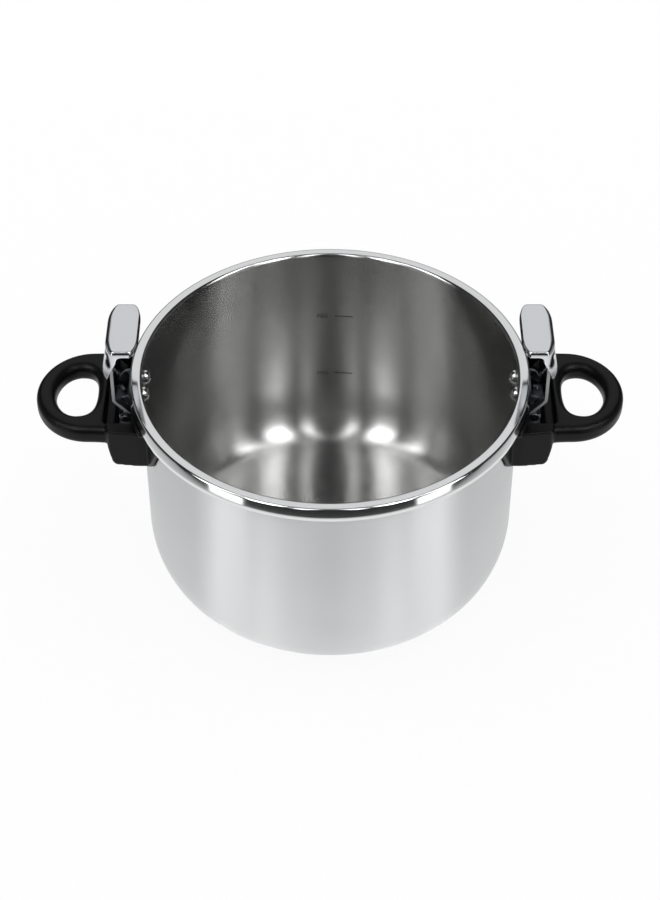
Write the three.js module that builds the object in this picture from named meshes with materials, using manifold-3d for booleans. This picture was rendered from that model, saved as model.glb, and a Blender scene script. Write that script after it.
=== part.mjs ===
// Pot of a clamp-lid pressure cooker with its two side handles and lid clamps, lid off.
// Millimetres, +Z up. The origin is the middle of the base's underside, and the handles lie along X.
import * as THREE from 'three';
import { mergeVertices } from 'three/addons/utils/BufferGeometryUtils.js';
import Module from 'manifold-3d';

const wasm = await Module();
wasm.setup();

// Clearances
const seatGap = 0.3; // between pieces that rest on or fit into each other
const turnGap = 0.3; // round a pin in its eye
const overrun = 6; // how far a cut runs past the face that it opens

// Pot, one drawn sheet
const potRadius = 120; // inside of the wall
const sheet = 1.2;
const potHeight = 156.1; // underside of the sheet to the top of the rim
const cornerHeight = 40.1; // the corner is a quarter of an ellipse
const cornerReach = 25.3;

// Rim, the sheet rolled outwards into a flat bead with a skirt
const mouthBend = 2.5; // radius of the bend out of the wall
const rimReach = 8.8; // inside of the wall to the skirt's edge
const skirtBend = 1.7;
const skirtLean = 1.2; // the skirt leans out by this
const skirtDrop = 6; // top of the rim to the skirt's edge

// Sandwich base
const coreRadius = 92;
const coreThickness = 5;
const coreEdge = 1; // chamfer round the disc
const capsuleWall = 0.6;
const capsuleBend = 1.6;

// Rivets through the wall
const rivetSpread = 8.3; // each side of the middle
const rivetDrop = 13; // below the top of the rim
const rivetShank = 2.4; // radius
const rivetHead = 5; // radius of the dome inside the pot
const rivetDome = 4.2; // its height
const rivetTail = 3.4; // radius of the closed end outside
const rivetTailHeight = 1.2;

// Bracket, a pressed steel saddle on the wall
const bracketSheet = 2;
const saddleHalfWidth = 23;
const saddleTopDrop = 5; // tucked up behind the skirt
const saddleBend = 5; // corner radius of the saddle's outline
const earSpread = 12; // middle to the ears' inner faces
const earRound = 4.7; // radius of the ear round the pin
const earStart = 120; // degrees that the ear's round runs past the eye's far side
const earEnd = 45; // and that it stops short of the slant
const earTopDrop = 8; // the ears pass under the skirt
const earFootDrop = 31; // where the ears run out on the saddle
const footReach = 14.8; // wall to the foot's outer edge
const footHalfWidth = 14;
const footDrop = 34.3; // top of the foot

// Pivot of the clamp
const pivotReach = 9.1; // outside of the wall to the pin's axis
const pivotDrop = 21.5; // top of the rim down to it
const pinRadius = 2;
const pinHead = 3.2; // radius
const pinHeadThickness = 1.3;
const pinEndLength = 1; // pin beyond its clip
const clipRadius = 3.9;
const clipThickness = 0.8;
const clipMouth = 2.4; // width of the clip's open side

// Clamp hook, one bent strip
const hookSheet = 2;
const hookHalfWidth = 20.4;
const hookBend = 3.5; // middle radius of its bends
const legFootDrop = 9; // where the leg turns in towards the pin
const eyeWidth = 6; // each rolled eye, along the pin
const eyeWrap = 250; // degrees that the strip goes round the pin
const stopLedge = 4.5; // eye to the edge that meets the bracket's ears

// Clamp cap, pressed over the hook
const capRise = 34.7; // top of the rim to the cap's top
const capInset = 1.6; // its inner edge stands over the pot by this
const capReach = 19.2; // outside of the wall to the cap's outer face
const capHalfWidth = 24.6;
const capSheet = 1.6;
const capFootRise = 11.9;
const capLegGap = 0.8; // its curved outer wall to the hook's straight leg
const capFlare = 3.1; // the foot turns out by this
const capFlareHeight = 10.4;
const capLip = 4.5; // turned-down edge round the top
const capCrown = 2; // height of the bend round the top
const capTopBend = 3.2; // its width along the outer edge
const capEdgeBend = 1.4; // and along the other edges
const capOuterCornerReach = 4; // corners seen from above, outwards
const capOuterCornerLength = 8; // and along the rim
const capInnerCornerReach = 5;
const capInnerCornerLength = 12;
const capLeastBend = 0.4; // what is left of a bend inside the sheet
const cheekTop = 7.4; // outer face to the cheeks' free edge, under the lip
const cheekFoot = 3.5;
const cheekBend = 4; // where a cheek's free edge turns into the lip

// Flush rivets between cap and hook
const capRivetSpread = 11;
const capRivetRise = 25.5;
const capRivetShank = 1.6;
const capRivetHead = 3;
const capRivetSink = 1.1;
const capRivetTail = 2.6;
const capRivetTailHeight = 0.9;

// Torsion spring on the pin
const springWire = 1.2;
const springBore = 2.5; // inner radius of the coil
const springGap = 0.5; // between turns
const springTurns = 7;
const springFootDrop = 31; // where its fixed leg bears on the saddle
const springLegRise = 5; // how high its moving leg goes on the hook

// Handle, moulded
const blockHalfWidth = 44; // at the wall
const blockOuterHalfWidth = 41.7; // at its outer face
const blockReach = 19.8; // wall to the block's outer face
const blockLean = 2.2; // the face draws in by this at its foot
const blockFootBend = 4;
const blockEdge = 1.5; // chamfer of the block's outer corners
const handleTopDrop = 15.5;
const handleFootDrop = 43.5;
const loopDrop = 1; // top of the block to top of the loop
const loopThickness = 13.3;
const loopReach = 67.8; // wall to the end of the loop
const loopRootHalfWidth = 39.3; // where it leaves the block
const loopHalfWidth = 38.5;
const loopNose = 35; // length of the loop's elliptic end
const loopRound = 4.5; // rounding of the grip's edges
const fingerHoleIn = 27.3; // wall to the near side of the finger hole
const fingerHoleOut = 55.1; // wall to its far side
const fingerHoleWidest = 40.3; // wall to where it is widest
const fingerHoleHalfWidth = 23;
const flangeThickness = 2;
const flangeHalfWidth = 59;
const flangeShoulderDrop = 20.5; // where the flange starts to taper
const flangeKneeHalfWidth = 49;
const flangeKneeDrop = 38.5;
const collarHalfWidth = 47; // lip that stands up outside the skirt
const collarThickness = 2.8;
const collarTopDrop = 4.6;
const collarDepth = 14; // how far the collar reaches down
const pocketHalfWidth = 32.9;
const pocketReach = 22.4; // wall to the pocket's outer side
const pocketStepDrop = 24; // below this the pocket is shallower
const pocketStepReach = 15.4;
const pocketBend = 3;

// Handle screws
const screwSpread = 8;
const screwReach = 9.5; // wall to the screws' axes
const screwRadius = 2;
const screwHead = 3.6;
const screwHeadThickness = 2.4;
const screwSink = 3.2; // depth of the counterbore
const screwTip = 1.5; // beyond the foot's top

// Fineness of round shapes
const potSteps = 72;
const smallSteps = 14;
const cornerSteps = 7;
const bendSteps = 3;
const curveSteps = 5;
const springSteps = 8; // for each turn
const springSides = 5;
const holeInShare = 0.75; // fullness of the finger hole's near side
const holeInEndShare = 0.65;
const holeOutShare = 0.55; // and of its far side
const holeOutEndShare = 0.5;

// Heights and distances that follow
const potFloor = capsuleWall + seatGap + coreThickness + seatGap;
const rimTop = potFloor + potHeight;
const wallOut = potRadius + sheet;
const rimOut = potRadius + rimReach;
const saddleIn = wallOut + seatGap;
const saddleOut = saddleIn + bracketSheet;
const footTop = rimTop - footDrop;
const footBottom = footTop - bracketSheet;
const pivot = new THREE.Vector2(wallOut + pivotReach, rimTop - pivotDrop);
const eyeMiddle = pinRadius + turnGap + hookSheet / 2;
const capOut = wallOut + capReach;
const capIn = wallOut - capInset;
const capTop = rimTop + capRise;
const capFoot = rimTop + capFootRise;
const legMiddle = capOut - capSheet - capLegGap - hookSheet / 2;
const jawMiddle = capTop - capSheet - seatGap - hookSheet / 2;
const handleTop = rimTop - handleTopDrop;
const handleFoot = rimTop - handleFootDrop;
const loopTop = handleTop - loopDrop;
const blockOut = wallOut + blockReach;
const rivetAngle = Math.asin(rivetSpread / potRadius);

// Materials
const steel = new THREE.MeshStandardMaterial({ color: '#c9cacc', roughness: 0.18, metalness: 1 });
const zinced = new THREE.MeshStandardMaterial({ color: '#b4b6b8', roughness: 0.35, metalness: 1 });
const chrome = new THREE.MeshStandardMaterial({ color: '#d6d8da', roughness: 0.08, metalness: 1 });
const aluminium = new THREE.MeshStandardMaterial({ color: '#b9babb', roughness: 0.5, metalness: 1 });
const phenolic = new THREE.MeshStandardMaterial({ color: '#1d1d1f', roughness: 0.38, metalness: 0 });

// Enclosed volume of a triangle mesh, negative when its faces point inwards.
function signedVolume(vertices, triangles) {
  const corner = (k) => new THREE.Vector3().fromArray(vertices, triangles[k] * 3);
  let total = 0;
  for (let i = 0; i < triangles.length; i += 3) {
    total += corner(i).dot(corner(i + 1).cross(corner(i + 2)));
  }
  return total;
}

// Closed geometry to a solid that can be cut and joined.
function solid(geometry) {
  const plain = geometry.clone();
  plain.deleteAttribute('normal');
  plain.deleteAttribute('uv');
  const merged = mergeVertices(plain);
  const index = merged.index.array;
  const triangles = [];
  for (let i = 0; i < index.length; i += 3) {
    const [a, b, c] = [index[i], index[i + 1], index[i + 2]];
    if (a !== b && b !== c && c !== a) triangles.push(a, b, c);
  }
  const vertices = merged.attributes.position.array;
  if (signedVolume(vertices, triangles) < 0) triangles.reverse();
  const mesh = new wasm.Mesh({
    numProp: 3,
    vertProperties: new Float32Array(vertices),
    triVerts: new Uint32Array(triangles),
  });
  return new wasm.Manifold(mesh);
}

// Solid back to a geometry.
function geometryOf(shape) {
  const mesh = shape.getMesh();
  const geometry = new THREE.BufferGeometry();
  geometry.setAttribute('position', new THREE.BufferAttribute(new Float32Array(mesh.vertProperties), 3));
  geometry.setIndex(new THREE.BufferAttribute(new Uint32Array(mesh.triVerts), 1));
  geometry.computeVertexNormals();
  return geometry;
}

function join(shapes) {
  return shapes.reduce((all, shape) => all.add(shape));
}

function cut(shape, cutters) {
  return cutters.reduce((rest, cutter) => rest.subtract(cutter), shape);
}

// Points of an arc, angles in degrees.
function arc(x, y, radiusX, radiusY, from, to, steps) {
  return Array.from({ length: steps + 1 }, (_, i) => {
    const angle = THREE.MathUtils.degToRad(from + ((to - from) * i) / steps);
    return new THREE.Vector2(x + radiusX * Math.cos(angle), y + radiusY * Math.sin(angle));
  });
}

function point(x, y) {
  return new THREE.Vector2(x, y);
}

// Round solid about the Z axis from its half section, points of radius and height.
function turned(section, steps) {
  return solid(new THREE.LatheGeometry(section, steps).rotateX(Math.PI / 2));
}

function tube(inner, outer, bottom, top, steps) {
  const section = [point(inner, bottom), point(outer, bottom), point(outer, top), point(inner, top)];
  if (inner > 0) section.push(point(inner, bottom));
  return turned(section, steps);
}

// Prism from an outline seen from above.
function planPrism(outline, bottom, top) {
  const shape = new THREE.ExtrudeGeometry(outline, {
    depth: top - bottom, bevelEnabled: false, curveSegments: curveSteps,
  });
  return solid(shape.translate(0, 0, bottom));
}

// Prism from an outline of outward distance and height, across the pot's front and back.
function sidePrism(outline, low, high) {
  const shape = new THREE.ExtrudeGeometry(outline, {
    depth: high - low, bevelEnabled: false, curveSegments: curveSteps,
  });
  return solid(shape.rotateX(Math.PI / 2).translate(0, high, 0));
}

// Prism from an outline of sideways distance and height, going outwards.
function facePrism(outline, near, far) {
  const shape = new THREE.ExtrudeGeometry(outline, {
    depth: far - near, bevelEnabled: false, curveSegments: curveSteps,
  });
  return solid(shape.rotateX(Math.PI / 2).rotateZ(Math.PI / 2).translate(near, 0, 0));
}

// Rod along Y, X or Z with its axis through the given place.
function rodY(radius, x, z, low, high) {
  const rod = new THREE.CylinderGeometry(radius, radius, high - low, smallSteps);
  return solid(rod.translate(x, (low + high) / 2, z));
}

function rodX(radius, y, z, near, far) {
  const rod = new THREE.CylinderGeometry(radius, radius, far - near, smallSteps).rotateZ(-Math.PI / 2);
  return solid(rod.translate((near + far) / 2, y, z));
}

function rodZ(radius, x, y, bottom, top) {
  const rod = new THREE.CylinderGeometry(radius, radius, top - bottom, smallSteps).rotateX(Math.PI / 2);
  return solid(rod.translate(x, y, (bottom + top) / 2));
}

// Rectangle with rounded corners.
function roundedBox(x0, y0, x1, y1, radius) {
  return new THREE.Shape(platePoints(x0, y0, x1, y1, [radius, radius], [radius, radius]));
}

// Points of a rectangle with elliptic corners, each given by its reach in X and in Y:
// one for the side at x0 and one for the side at x1.
function platePoints(x0, y0, x1, y1, nearCorner, farCorner) {
  const quarter = (x, y, corner, from) => arc(x, y, corner[0], corner[1], from, from + 90, bendSteps);
  return [
    ...quarter(x1 - farCorner[0], y0 + farCorner[1], farCorner, -90),
    ...quarter(x1 - farCorner[0], y1 - farCorner[1], farCorner, 0),
    ...quarter(x0 + nearCorner[0], y1 - nearCorner[1], nearCorner, 90),
    ...quarter(x0 + nearCorner[0], y0 + nearCorner[1], nearCorner, 180),
  ];
}

// Solid through outlines of equal counts of points, each at its own height, from the lowest up.
function loft(levels) {
  const count = levels[0].outline.length;
  const positions = levels.flatMap(({ outline, z }) => outline.flatMap(({ x, y }) => [x, y, z]));
  const ends = [levels[0], levels[levels.length - 1]];
  for (const { outline, z } of ends) {
    const middle = outline.reduce((sum, place) => sum.add(place), point(0, 0)).divideScalar(count);
    positions.push(middle.x, middle.y, z);
  }
  const bottom = levels.length * count;
  const indices = [];
  for (let i = 0; i < count; i += 1) {
    const next = (i + 1) % count;
    for (let row = 0; row < levels.length - 1; row += 1) {
      const low = row * count;
      const high = low + count;
      indices.push(low + i, low + next, high + next, low + i, high + next, high + i);
    }
    const top = bottom - count;
    indices.push(bottom, next, i, bottom + 1, top + i, top + next);
  }
  const geometry = new THREE.BufferGeometry();
  geometry.setAttribute('position', new THREE.Float32BufferAttribute(positions, 3));
  geometry.setIndex(indices);
  return solid(geometry);
}

// Outline of a strip of even thickness along a middle line.
function strip(line, thickness) {
  const left = [];
  const right = [];
  line.forEach((here, i) => {
    const before = line[Math.max(i - 1, 0)];
    const after = line[Math.min(i + 1, line.length - 1)];
    const along = after.clone().sub(before).normalize();
    const side = point(-along.y, along.x).multiplyScalar(thickness / 2);
    left.push(here.clone().add(side));
    right.unshift(here.clone().sub(side));
  });
  return new THREE.Shape([...left, ...right]);
}

// Where a line from a point runs onto a circle, and where it leaves for a point,
// going round anticlockwise, in degrees.
function entryAngle(from, centre, radius) {
  const line = from.clone().sub(centre);
  return THREE.MathUtils.radToDeg(line.angle() + Math.acos(radius / line.length()));
}

function exitAngle(to, centre, radius) {
  const line = to.clone().sub(centre);
  return THREE.MathUtils.radToDeg(line.angle() - Math.acos(radius / line.length()));
}

function named(name, geometry, material) {
  const mesh = new THREE.Mesh(geometry, material);
  mesh.name = name;
  return mesh;
}

// The drawn sheet's half section: up the outside, over the rim, down the inside.
function potSection() {
  const flat = wallOut - cornerReach;
  const mouth = potRadius + mouthBend;
  const brow = rimOut - skirtLean - skirtBend;
  const skirtEdge = rimTop - skirtDrop;
  const lean = THREE.MathUtils.radToDeg(Math.atan2(skirtLean, skirtDrop - skirtBend));
  const bend = (x, y, radius, from, to) => arc(x, y, radius, radius, from, to, bendSteps);
  return [
    point(0, potFloor),
    ...arc(flat, potFloor + cornerHeight, cornerReach, cornerHeight, -90, 0, cornerSteps),
    ...bend(mouth, rimTop - mouthBend, mouthBend - sheet, 180, 90),
    ...bend(brow, rimTop - skirtBend, skirtBend - sheet, 90, lean),
    point(rimOut - sheet, skirtEdge),
    point(rimOut, skirtEdge),
    ...bend(brow, rimTop - skirtBend, skirtBend, lean, 90),
    ...bend(mouth, rimTop - mouthBend, mouthBend, 90, 180),
    ...arc(flat, potFloor + cornerHeight, cornerReach - sheet, cornerHeight - sheet, 0, -90, cornerSteps),
    point(0, potFloor + sheet),
  ];
}

// Rods through the wall and saddle where the rivets go, on one side of the pot.
function rivetHoles() {
  return [-rivetAngle, rivetAngle].map((angle) => {
    const height = rimTop - rivetDrop;
    const hole = rodX(rivetShank + seatGap, 0, height, potRadius - overrun, saddleOut + overrun);
    return hole.rotate([0, 0, THREE.MathUtils.radToDeg(angle)]);
  });
}

function potBody() {
  const holes = rivetHoles();
  const farHoles = holes.map((hole) => hole.rotate([0, 0, 180]));
  const body = cut(turned(potSection(), potSteps), [...holes, ...farHoles]);
  return named('pot_body', geometryOf(body), steel);
}

function baseCore() {
  const bottom = capsuleWall + seatGap;
  const top = bottom + coreThickness;
  const core = turned([
    point(0, bottom),
    point(coreRadius - coreEdge, bottom),
    point(coreRadius, bottom + coreEdge),
    point(coreRadius, top - coreEdge),
    point(coreRadius - coreEdge, top),
    point(0, top),
  ], potSteps);
  return named('base_core', geometryOf(core), aluminium);
}

// A shallow cup under and round the core, its edge against the pot's underside.
function baseCapsule() {
  const inside = coreRadius + seatGap;
  const outside = inside + capsuleWall;
  const edge = potFloor - seatGap;
  const turn = outside - capsuleBend;
  const cup = turned([
    point(0, 0),
    ...arc(turn, capsuleBend, capsuleBend, capsuleBend, -90, 0, bendSteps),
    point(outside, edge),
    point(inside, edge),
    ...arc(turn, capsuleBend, capsuleBend - capsuleWall, capsuleBend - capsuleWall, 0, -90, bendSteps),
    point(0, capsuleWall),
  ], potSteps);
  return named('base_capsule', geometryOf(cup), steel);
}

// Dome-head rivet along the pot's radius, its dome inside the pot.
function wallRivet(name, angle) {
  const shankEnd = sheet + seatGap + bracketSheet + seatGap;
  const rivet = solid(new THREE.LatheGeometry([
    ...arc(0, -seatGap, rivetHead, rivetDome, -90, 0, bendSteps),
    point(rivetShank, -seatGap),
    point(rivetShank, shankEnd),
    ...arc(0, shankEnd, rivetTail, rivetTailHeight, 0, 90, bendSteps),
  ], smallSteps).rotateZ(-Math.PI / 2));
  const mesh = named(name, geometryOf(rivet), zinced);
  mesh.position.set(potRadius * Math.cos(angle), potRadius * Math.sin(angle), rimTop - rivetDrop);
  mesh.rotation.z = angle;
  return mesh;
}

// The hook's middle line in outward distance and height: jaw, leg, slant, rolled eye.
function hookLine() {
  const knee = point(legMiddle, rimTop - legFootDrop);
  const entry = entryAngle(knee, pivot, eyeMiddle);
  const eye = arc(pivot.x, pivot.y, eyeMiddle, eyeMiddle, entry, entry + eyeWrap, 2 * curveSteps);
  const slant = eye[0].clone().sub(knee).normalize();
  const turn = THREE.MathUtils.radToDeg(Math.acos(-slant.y));
  const kneeTangent = hookBend * Math.tan(THREE.MathUtils.degToRad(turn) / 2);
  const kneeStart = knee.y + kneeTangent;
  return {
    entry,
    slant,
    eye,
    line: [
      point(capIn + capSheet + seatGap, jawMiddle),
      ...arc(legMiddle - hookBend, jawMiddle - hookBend, hookBend, hookBend, 90, 0, bendSteps),
      ...arc(legMiddle - hookBend, kneeStart, hookBend, hookBend, 0, -turn, bendSteps),
      ...eye,
    ],
  };
}

// Ear of the bracket: it passes under the skirt, its upper edge stops the hook's slant,
// and it goes out through the hook's cut-out to hold the pin.
function earOutline() {
  const { entry, slant, eye } = hookLine();
  const inward = point(slant.y, -slant.x);
  const clear = hookSheet / 2 + seatGap;
  const alongStop = (distance) => eye[0].clone()
    .addScaledVector(slant, -distance)
    .addScaledVector(inward, clear);
  return new THREE.Shape([
    point(saddleIn, rimTop - earTopDrop),
    point(saddleIn, rimTop - earFootDrop),
    point(saddleOut, rimTop - earFootDrop),
    ...arc(pivot.x, pivot.y, earRound, earRound, entry + earStart - 360, entry - earEnd, curveSteps),
    alongStop(stopLedge / 2),
    alongStop(2 * stopLedge),
  ].reverse());
}

function bracket(side) {
  const saddleTop = rimTop - saddleTopDrop;
  const saddleOutline = roundedBox(-saddleHalfWidth, footBottom, saddleHalfWidth, saddleTop, saddleBend);
  const saddle = tube(saddleIn, saddleOut, footBottom - overrun, rimTop, potSteps)
    .intersect(facePrism(saddleOutline, wallOut - overrun, wallOut + overrun + rimReach));
  const ears = [-earSpread - bracketSheet, earSpread]
    .map((low) => sidePrism(earOutline(), low, low + bracketSheet));
  const footOutline = roundedBox(
    potRadius - saddleBend, -footHalfWidth, wallOut + footReach, footHalfWidth, bracketSheet,
  );
  const foot = planPrism(footOutline, footBottom, footTop);
  const screwHoles = [-screwSpread, screwSpread].map((y) => rodZ(
    screwRadius + seatGap, wallOut + screwReach, y, footBottom - overrun, footTop + overrun,
  ));
  const body = cut(join([saddle, ...ears, foot]), [
    tube(0, saddleIn, footBottom - overrun, rimTop + overrun, potSteps),
    rodY(pinRadius + turnGap, pivot.x, pivot.y, -saddleHalfWidth, saddleHalfWidth),
    ...rivetHoles(),
    ...screwHoles,
  ]);
  return named(`${side}_bracket`, geometryOf(body), zinced);
}

// Headed pin along Y.
function pivotPin(side) {
  const head = hookHalfWidth + seatGap + pinHeadThickness;
  const end = hookHalfWidth + seatGap + clipThickness + pinEndLength;
  const pin = rodY(pinRadius, pivot.x, pivot.y, -head, end)
    .add(rodY(pinHead, pivot.x, pivot.y, -head, -head + pinHeadThickness));
  return named(`${side}_pivot_pin`, geometryOf(pin), zinced);
}

// Snap clip: a ring with an open side, behind the rear eye.
function pinClip(side) {
  const low = hookHalfWidth + seatGap;
  const high = low + clipThickness;
  const half = clipMouth / 2;
  const mouth = roundedBox(pivot.x, pivot.y - half, pivot.x + 2 * clipRadius, pivot.y + half, half / 2);
  const ring = cut(rodY(clipRadius, pivot.x, pivot.y, low, high), [
    rodY(pinRadius + turnGap, pivot.x, pivot.y, low - overrun, high + overrun),
    sidePrism(mouth, low - overrun, high + overrun),
  ]);
  return named(`${side}_pin_clip`, geometryOf(ring), zinced);
}

// Points of the spring's wire: fixed leg up to the coil, turns along the pin, moving leg.
function springPoints() {
  const radius = springBore + springWire / 2;
  const lift = seatGap + springWire / 2;
  const pitch = springWire + springGap;
  const foot = point(saddleOut + lift, rimTop - springFootDrop);
  const legFace = legMiddle + hookSheet / 2 + lift;
  const bearing = point(legFace, rimTop - legFootDrop);
  const first = entryAngle(foot, pivot, radius);
  const last = exitAngle(bearing, pivot, radius) + 360 * springTurns;
  const steps = Math.round(((last - first) / 360) * springSteps);
  const coilLength = (pitch * (last - first)) / 360;
  const coil = arc(pivot.x, pivot.y, radius, radius, first, last, steps)
    .map((p, i) => new THREE.Vector3(p.x, (coilLength * i) / steps - coilLength / 2, p.y));
  return [
    new THREE.Vector3(foot.x, -coilLength / 2, foot.y),
    ...coil,
    new THREE.Vector3(bearing.x, coilLength / 2, bearing.y),
    new THREE.Vector3(bearing.x, coilLength / 2, rimTop + springLegRise),
  ];
}

// Least clear distance between two turns of the wire, measured on its points.
function leastGap(points) {
  let least = Infinity;
  const apart = Math.floor(springSteps / 2);
  points.forEach((a, i) => {
    points.slice(i + apart).forEach((b) => {
      least = Math.min(least, a.distanceTo(b) - springWire);
    });
  });
  return least;
}

// Round wire along points, one unbroken tube with closed ends.
function wire(points, radius, sides) {
  const vertices = [];
  const index = [];
  let across = new THREE.Vector3(0, 1, 0);
  points.forEach((here, i) => {
    const before = points[Math.max(i - 1, 0)];
    const after = points[Math.min(i + 1, points.length - 1)];
    const along = after.clone().sub(before).normalize();
    across = across.clone().addScaledVector(along, -across.dot(along)).normalize();
    const over = along.clone().cross(across);
    for (let k = 0; k < sides; k += 1) {
      const angle = (2 * Math.PI * k) / sides;
      vertices.push(...here.clone()
        .addScaledVector(across, radius * Math.cos(angle))
        .addScaledVector(over, radius * Math.sin(angle)).toArray());
    }
  });
  const ring = (i, k) => i * sides + (k % sides);
  for (let i = 0; i < points.length - 1; i += 1) {
    for (let k = 0; k < sides; k += 1) {
      index.push(ring(i, k), ring(i, k + 1), ring(i + 1, k));
      index.push(ring(i, k + 1), ring(i + 1, k + 1), ring(i + 1, k));
    }
  }
  const end = points.length - 1;
  for (let k = 1; k < sides - 1; k += 1) {
    index.push(ring(0, 0), ring(0, k + 1), ring(0, k));
    index.push(ring(end, 0), ring(end, k), ring(end, k + 1));
  }
  const geometry = new THREE.BufferGeometry();
  geometry.setAttribute('position', new THREE.BufferAttribute(new Float32Array(vertices), 3));
  geometry.setIndex(index);
  return geometry;
}

function clampSpring(side) {
  const points = springPoints();
  const body = solid(wire(points, springWire / 2, springSides));
  return named(`${side}_clamp_spring`, geometryOf(body), zinced);
}

// Bent strip: the jaw under the cap bears on the lid, the leg carries the pull to the pin.
function clampHook(side) {
  const { line, eye, slant } = hookLine();
  const body = sidePrism(strip(line, hookSheet), -hookHalfWidth, hookHalfWidth);
  const jawEdge = capIn + capSheet + seatGap;
  const jawCorner = [capInnerCornerReach, capInnerCornerLength]
    .map((length) => length - capSheet - seatGap);
  const jawPlan = new THREE.Shape(platePoints(
    jawEdge, -hookHalfWidth, capOut + overrun, hookHalfWidth, jawCorner, [seatGap, seatGap],
  ));
  const jawKeep = planPrism(jawPlan, pivot.y - overrun - eyeMiddle, capTop);
  const inner = hookHalfWidth - eyeWidth;
  const ledge = eye[0].clone().addScaledVector(slant, -stopLedge);
  const across = point(-slant.y, slant.x).multiplyScalar(2 * overrun);
  const reach = slant.clone().multiplyScalar(2 * overrun + stopLedge);
  const window = new THREE.Shape([
    ledge.clone().sub(across),
    ledge.clone().add(across),
    ledge.clone().add(across).add(reach),
    ledge.clone().sub(across).add(reach),
  ]);
  const rivets = [-capRivetSpread, capRivetSpread]
    .map((y) => rodX(capRivetShank + seatGap, y, rimTop + capRivetRise, legMiddle - overrun, capOut));
  const hook = cut(body.intersect(jawKeep), [sidePrism(window, -inner, inner), ...rivets]);
  return named(`${side}_clamp_hook`, geometryOf(hook), chrome);
}

// The cap's outer form, or its hollow when drawn in by the sheet: outlines from the flared foot
// up to the crown.
function capForm(inset) {
  const drawnIn = (length) => Math.max(length - inset, capLeastBend);
  const level = (z, flare, share) => {
    const edge = share * drawnIn(capEdgeBend);
    const crown = share * drawnIn(capTopBend);
    return {
      z,
      outline: platePoints(
        capIn + inset + edge,
        -capHalfWidth + inset + edge,
        capOut - inset + flare - crown,
        capHalfWidth - inset - edge,
        [drawnIn(capInnerCornerReach) - edge, drawnIn(capInnerCornerLength) - edge],
        [drawnIn(capOuterCornerReach) - crown, drawnIn(capOuterCornerLength) - edge],
      ),
    };
  };
  const flared = Array.from({ length: curveSteps + 1 }, (_, i) => {
    const rise = i / curveSteps;
    return level(capFoot + rise * capFlareHeight, capFlare * (1 - rise) ** 2, 0);
  });
  const crown = drawnIn(capCrown);
  const crowned = arc(0, 0, 1, 1, 0, 90, bendSteps)
    .map(({ x, y }) => level(capTop - inset - crown * (1 - y), 0, 1 - x));
  const foot = inset > 0 ? [level(capFoot - overrun, capFlare, 0)] : [];
  return loft([...foot, ...flared, ...crowned]);
}

// Pressed shell: rounded top with a turned-down lip, cheeks that taper, outer wall that flares.
function clampCap(side) {
  const lipEdge = capTop - capLip;
  const cheekStart = capOut - cheekTop;
  const cheekEnd = capOut - cheekFoot;
  const opening = new THREE.Shape();
  opening.moveTo(capIn - overrun, lipEdge);
  opening.lineTo(capIn - overrun, capFoot - overrun);
  opening.lineTo(cheekEnd, capFoot - overrun);
  opening.lineTo(cheekEnd, capFoot);
  opening.lineTo(cheekStart, lipEdge - cheekBend);
  opening.quadraticCurveTo(cheekStart, lipEdge, cheekStart - cheekBend, lipEdge);
  const holes = [-capRivetSpread, capRivetSpread].map((y) => capRivetShape(seatGap)
    .translate([capOut, y, rimTop + capRivetRise]));
  const cap = cut(capForm(0), [
    capForm(capSheet),
    sidePrism(opening, -capHalfWidth - overrun, capHalfWidth + overrun),
    ...holes,
  ]);
  return named(`${side}_clamp_cap`, geometryOf(cap), chrome);
}

// Flush rivet along X, its outer face at zero. With a gap it is the hole for itself.
function capRivetShape(gap) {
  const shankEnd = capSheet + capLegGap + hookSheet + seatGap;
  const shank = capRivetShank + gap;
  const outer = gap > 0 ? [point(0, overrun), point(capRivetHead + gap, overrun)] : [point(0, 0)];
  const inner = gap > 0
    ? [point(shank, -shankEnd - overrun), point(0, -shankEnd - overrun)]
    : [
      point(shank, -shankEnd),
      ...arc(0, -shankEnd, capRivetTail, capRivetTailHeight, 0, -90, bendSteps),
    ];
  return solid(new THREE.LatheGeometry([
    ...outer,
    point(capRivetHead + gap, 0),
    point(shank, -capRivetSink - gap),
    ...inner,
  ], smallSteps).rotateZ(-Math.PI / 2));
}

function capRivet(name, y) {
  const mesh = named(name, geometryOf(capRivetShape(0)), chrome);
  mesh.position.set(capOut, y, rimTop + capRivetRise);
  return mesh;
}

// Finger loop seen from above: it leaves the block and ends in half an ellipse.
function loopOutline() {
  const end = wallOut + loopReach;
  const nose = end - loopNose;
  const neck = (blockOut + nose) / 2;
  const outline = new THREE.Shape();
  outline.moveTo(potRadius, -loopRootHalfWidth);
  outline.lineTo(blockOut, -loopRootHalfWidth);
  outline.quadraticCurveTo(neck, -loopHalfWidth, nose, -loopHalfWidth);
  outline.absellipse(nose, 0, loopNose, loopHalfWidth, -Math.PI / 2, Math.PI / 2, false);
  outline.quadraticCurveTo(neck, loopHalfWidth, blockOut, loopRootHalfWidth);
  outline.lineTo(potRadius, loopRootHalfWidth);
  outline.holes.push(fingerHole());
  return outline;
}

function fingerHole() {
  const near = wallOut + fingerHoleIn;
  const far = wallOut + fingerHoleOut;
  const wide = wallOut + fingerHoleWidest;
  const half = fingerHoleHalfWidth;
  const nearEnd = wide - (wide - near) * holeInEndShare;
  const farEnd = wide + (far - wide) * holeOutShare;
  const hole = new THREE.Path();
  hole.moveTo(near, 0);
  hole.bezierCurveTo(near, half * holeInShare, nearEnd, half, wide, half);
  hole.bezierCurveTo(farEnd, half, far, half * holeOutEndShare, far, 0);
  hole.bezierCurveTo(far, -half * holeOutEndShare, farEnd, -half, wide, -half);
  hole.bezierCurveTo(nearEnd, -half, near, -half * holeInShare, near, 0);
  return hole;
}

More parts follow.
